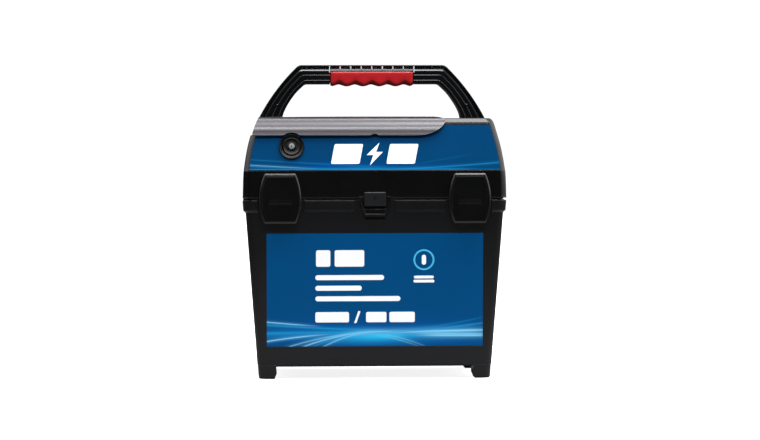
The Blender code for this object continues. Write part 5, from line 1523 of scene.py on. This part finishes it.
for side, s, mat, slot in (("fence", 1, M_REDKNOB, "knob_red"), ("earth", -1, M_GREENKNOB, "knob_green")):
    fr = axis_frame((s * TERMINAL_X, REAR_Y, TERMINAL_Z), (0, 1, 0))
    place(thread(f"{side}_threaded_stud", fr, 3.0, -2.6, 10.2, 0.6, M_STEEL), "lid", "zinc_steel", f"{side}_stud")
    washer = [(8.0, 0.3), (8.2, 0.5), (8.2, 1.3), (8.0, 1.5), (3.6, 1.5), (3.4, 1.3), (3.4, 0.5), (3.6, 0.3)]
    place(emit(f"{side}_flat_washer", tube_data(washer, 64), M_STEEL, at=fr), "lid", "zinc_steel", f"{side}_washer")
    place(build_knob(f"{side}_knob_cap", fr, mat), f"{side}_terminal_knob", slot, f"{side}_knob")


# ------------------------------------------------------------ screws
def build_screw(name, fr, head_r, head_h, r, length):
    prof = [(0.3 * r, -length), (0.7 * r, -length + 0.6), (r, -length + 1.8)]
    z = -length + 2.0
    while z < -1.6:
        prof += [(r, z), (r - 0.30, z + 0.35), (r - 0.30, z + 0.75)]
        z += 1.1
    prof += [(r, -0.8), (r, 0.0), (head_r - 0.2, 0.0), (head_r, 0.2), (head_r, 0.5 * head_h),
             (0.94 * head_r, 0.72 * head_h), (0.80 * head_r, 0.90 * head_h), (0.6 * head_r, head_h)]
    prof += [(0.30 * head_r, head_h), (0.20 * head_r, head_h - 0.1)]
    ob = emit(name, turned_data(prof, 32), M_STEEL, at=fr, smooth=28)
    w = head_r * 0.16
    a = [tuple(fr @ Vector(p)) for p in block_data(-head_r * 0.5, head_r * 0.5, -w, w, 0.45 * head_h, head_h + 1)[0]]
    b = [tuple(fr @ Vector(p)) for p in block_data(-w, w, -head_r * 0.5, head_r * 0.5, 0.45 * head_h, head_h + 1)[0]]
    faces = block_data(0, 1, 0, 1, 0, 1)[1]
    cut(ob, (a, faces), (b, faces), smooth=28)
    return ob


for side, s in (("left", -1), ("right", 1)):
    lo, hi = cad(f"handle_screw_{side}")
    fr = axis_frame((mid(lo, hi, 0), mid(lo, hi, 1), LID_TOP_Z - 3.8), (0, 0, -1))
    place(build_screw(f"handle_bolt_{side}", fr, 4.2, 2.6, 1.7, 16.0), "lid", "zinc_steel", f"handle_screw_{side}")
for k in range(1, 5):
    lo, hi = cad(f"floor_screw_{k}")
    fr = axis_frame((mid(lo, hi, 0), mid(lo, hi, 1), 196.8), (0, 0, -1))
    place(build_screw(f"floor_fixing_{k}", fr, 3.3, 1.9, 1.6, 13.0), "lid", "zinc_steel", f"floor_screw_{k}")


# ------------------------------------------------------------ battery, clips and leads
def build_battery():
    hx, hy, z0, z1 = BA_HI[0], BA_HI[1], BA_LO[2], BA_HI[2]

    def ring(z, off, r=5.0):
        return round_rect(z, hx - off, -hy + off, hy - off, r - min(off, 2.0) * 0.5, 8)
    rings = [ring(z0, 2.0), ring(z0 + 0.5, 0.9), ring(z0 + 1.5, 0.2), ring(z0 + 2.5, 0.0), ring(z1 - 15.0, 0.0),
             ring(z1 - 14.4, 0.3), ring(z1 - 14.0, 1.2), ring(z1 - 13.6, 1.2), ring(z1 - 13.2, 0.5),
             ring(z1 - 12.4, 0.2), ring(z1 - 2.6, 0.6), ring(z1 - 1.2, 1.0), ring(z1 - 0.3, 2.0), ring(z1, 3.2)]
    case = emit("battery_case", loft_data(rings), M_BATTERY)
    well = [[(x, y, z) for x, y in rounded_outline(70.0, 15.0, 3.0, 5)] for z in (z1 - 1.6, z1 + 2.0)]
    v, f = loft_data(well)
    cut(case, ([(x, y - 26.0, z) for x, y, z in v], f))
    flutes = []
    for s in (1, -1):
        for k in range(-3, 4):
            flutes.append(block_data(k * 24.0 - 1.0, k * 24.0 + 1.0, *sorted((s * (hy - 0.7), s * (hy + 2.0))),
                                     z0 + 12.0, z1 - 24.0))
    cut(case, join_data(*flutes))
    return case


place(build_battery(), "base", "battery_grey", "fence_battery")
plugs = []
for k in range(6):
    v, f = turned_data([(6.4, -1.9), (6.4, -0.4), (6.1, -0.1), (5.2, 0.0), (4.6, -0.25), (1.2, -0.25)], 40)
    plugs.append(([(x - 55.0 + 22.0 * k, y - 26.0, z + BATTERY_TOP) for x, y, z in v], f))
place(emit("battery_cell_plugs", join_data(*plugs), M_BATTERY_TOP), "base", "battery_grey")

for name, s in (("positive", 1), ("negative", -1)):
    fr = axis_frame((s * POST_X, POST_Y, BATTERY_TOP), (0, 0, 1))
    post = [(5.3, 0.3), (5.5, 0.5), (5.5, 1.9), (5.2, 2.2), (3.2, 2.2), (3.0, 2.5)]
    z = 2.8
    while z < 7.2:
        post += [(3.0, z), (2.75, z + 0.3), (2.75, z + 0.45), (3.0, z + 0.7)]
        z += 0.8
    post += [(3.0, 7.6), (2.4, 8.2)]
    place(emit(f"battery_stud_{name}", turned_data(post, 40), M_BRASS, at=fr, smooth=28), "base", "post_brass",
          f"battery_post_{name}")
for name, s, mat, slot in (("red", 1, M_REDWIRE, "wire_red"), ("black", -1, M_BLACKWIRE, "wire_black")):
    fr = axis_frame((s * POST_X, POST_Y, BATTERY_TOP), (0, 0, 1))
    boot = [(6.6, 2.6), (7.1, 2.9), (7.4, 3.4), (7.4, 5.0), (7.1, 5.3), (7.1, 5.9), (7.4, 6.2), (7.4, 7.6), (7.1, 7.9),
            (7.1, 8.5), (7.4, 8.8), (7.3, 10.2), (6.9, 11.0), (6.2, 11.4), (3.8, 11.4), (3.4, 11.0), (3.4, 3.0), (3.7, 2.6)]
    place(emit(f"battery_boot_{name}", tube_data(boot, 56), mat, at=fr, smooth=40), "base", slot, f"battery_clip_{name}")


def bezier(p0, p1, p2, p3, t):
    return (Vector(p0) * (1 - t) ** 3 + Vector(p1) * (3 * (1 - t) ** 2 * t) + Vector(p2) * (3 * (1 - t) * t ** 2) +
            Vector(p3) * t ** 3)


def build_lead(name, ctrl, mat, r=1.6, n=96, sides=20):
    pts = [bezier(*ctrl, i / n) for i in range(n + 1)]
    rings, last = [], None
    for i, p in enumerate(pts):
        t = (pts[min(i + 1, n)] - pts[max(i - 1, 0)]).normalized()
        a = t.cross(Vector((0, 0, 1)))
        a = a.normalized() if a.length > 1e-6 else Vector((1, 0, 0))
        if last is not None and a.dot(last) < 0:
            a = -a
        last = a
        b = t.cross(a).normalized()
        rings.append([tuple(p + a * (r * math.cos(2 * math.pi * k / sides)) + b * (r * math.sin(2 * math.pi * k / sides)))
                      for k in range(sides)])
    return emit(name, loft_data(rings), mat, smooth=60)


ZL, GX = BATTERY_TOP + 7.0, POST_X - 31.0
for name, node, ctrl, mat, slot in (
        ("lead_cable_red", "lead_red", ((POST_X + 1.0, POST_Y + 9.4, ZL), (POST_X + 4.0, POST_Y + 40.0, ZL),
                                        (GX + 34.0, 72.0, ZL + 1.0), (GX + 8.6, 72.0, ZL + 2.6)), M_REDWIRE, "wire_red"),
        ("lead_cable_black", "lead_black", ((-POST_X + 2.0, POST_Y + 9.4, ZL), (-POST_X + 18.0, POST_Y + 46.0, ZL),
                                            (GX - 60.0, 72.0, ZL + 1.0), (GX - 8.6, 72.0, ZL + 2.6)), M_BLACKWIRE,
         "wire_black")):
    lead = build_lead(name, ctrl, mat)
    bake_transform(lead)
    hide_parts(node)

grommet = [(7.2, 186.6), (7.6, 186.8), (7.9, 187.4), (7.9, 190.0), (7.5, 190.4), (7.5, 191.0), (7.9, 191.4),
           (7.9, 195.6), (7.4, 196.5), (6.4, 196.8), (6.0, 197.0), (6.0, 201.2), (5.8, 202.0), (5.2, 202.4)]
place(emit("lead_grommet_boot", turned_data(grommet, 64), M_SEAL, at=axis_frame((GX, 72.0, 0), (0, 0, 1)), smooth=40),
      "lid", "seal_rubber", "lead_grommet")


# ------------------------------------------------------------ electronics kept from the frame
def finish_node(node, mat, bevel=0.25, smooth=35.0):
    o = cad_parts[node]
    o.data.materials.clear()
    o.data.materials.append(mat)
    for p in o.data.polygons:
        p.material_index = 0
    w = o.modifiers.new("weld", "WELD")
    w.merge_threshold = 0.00001
    if bevel:
        soften(o, bevel, 2, 40.0)
    weigh(o)


finish_node("circuit_board", M_BOARD, 0.2)
finish_node("storage_capacitor", M_CAP, 0.8)
finish_node("transformer_core", M_CORE, 0.3)
finish_node("transformer_coil", M_COIL, 0.0)
finish_node("switch_spring", M_STEEL, 0.0)


# ------------------------------------------------------------ studio
def build_floor():
    s = Shader("studio_floor", (0.86, 0.86, 0.86), 0.75, spec=0.1)
    mottled = s.noise(1.2, 3.0, 0.5)
    near = s.mix(mottled, (0.90, 0.90, 0.905), (0.94, 0.94, 0.94))
    x, y, z = s.xyz()
    reach = (x * x + (y + 0.10) * (y + 0.10)).m("SQRT")
    bounce = s.mix(reach.ramp(0.22, 0.80), (0.26, 0.26, 0.27), (0.03, 0.03, 0.03))
    path = s.nt.nodes.new("ShaderNodeLightPath")
    camera = E(s.nt, path.outputs["Is Camera Ray"])
    s.set("Base Color", s.mix(camera, bounce, near))
    s.set("Emission Color", (1.0, 1.0, 1.0, 1.0))
    s.set("Emission Strength", camera * 0.86)
    mat = s.done()
    half = 9000.0
    floor = emit("studio_floor", ([(-half, -half, 0), (half, -half, 0), (half, half, 0), (-half, half, 0)],
                                  [(0, 1, 2, 3)]), mat)
    floor.location.z = -0.0002
    return floor


build_floor()


def build_world():
    w = bpy.data.worlds.new("studio")
    scene.world = w
    w.use_nodes = True
    nt = w.node_tree
    bg = nt.nodes["Background"]
    tc = nt.nodes.new("ShaderNodeTexCoord")
    sep = nt.nodes.new("ShaderNodeSeparateXYZ")
    nt.links.new(tc.outputs["Generated"], sep.inputs[0])
    x, y, z = [E(nt, o) for o in sep.outputs]
    front = (y * -1.0).ramp(0.30, 0.90)
    sky = z.ramp(0.12, 0.50) * 0.9 + z.ramp(0.55, 1.0) * 0.4
    right = x.ramp(0.40, 0.90) * z.ramp(-0.05, 0.10) * 1.8
    left = (x * -1.0).ramp(0.40, 0.90) * z.ramp(0.10, 0.35) * 1.1
    value = (sky + right + left) * (front * -0.88 + 1.0) + 0.02
    path = nt.nodes.new("ShaderNodeLightPath")
    cam = E(nt, path.outputs["Is Camera Ray"])
    value = value * (1.0 - cam) + cam * 1.05
    nt.links.new(value.s, bg.inputs["Strength"])
    bg.inputs["Color"].default_value = (1.0, 1.0, 1.0, 1.0)


build_world()


def softbox(name, pos, target, sx, sy, watts):
    light = bpy.data.lights.new(name, "AREA")
    light.shape, light.size, light.size_y, light.energy = "RECTANGLE", sx, sy, watts
    ob = bpy.data.objects.new(name, light)
    ROOT.objects.link(ob)
    ob.location = pos
    ob.rotation_mode = "QUATERNION"
    ob.rotation_quaternion = (Vector(target) - Vector(pos)).to_track_quat("-Z", "Y")
    ob.visible_camera = False
    return ob


softbox("overhead_left", (-0.61, -0.35, 1.75), (-0.61, -0.15, 0.2), 1.2, 0.8, 11.0)
softbox("overhead_right", (0.63, -0.35, 1.75), (0.63, -0.15, 0.2), 1.2, 0.8, 32.0)
softbox("front_high", (0.0, -1.75, 1.8), (0.0, -0.1, 0.2), 1.6, 0.5, 46.0)


# ------------------------------------------------------------ camera and output
cam_data = bpy.data.cameras.new("camera")
cam_data.lens = 132.92
cam_data.sensor_width = 36.0
cam_data.clip_start, cam_data.clip_end = 0.05, 60.0
cam = bpy.data.objects.new("camera", cam_data)
ROOT.objects.link(cam)
front_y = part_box("latch_right")[0].y
cam.location = (-0.132, front_y - 3.0, 0.238)
aim = Vector((0.0049, front_y, 0.17177)) - cam.location
cam.rotation_mode = "QUATERNION"
cam.rotation_quaternion = aim.to_track_quat("-Z", "Y") @ Matrix.Rotation(math.radians(-0.14), 4, "Z").to_quaternion()
scene.camera = cam
scene.view_settings.view_transform = "Standard"
scene.view_settings.look = "None"

bpy.context.view_layer.update()
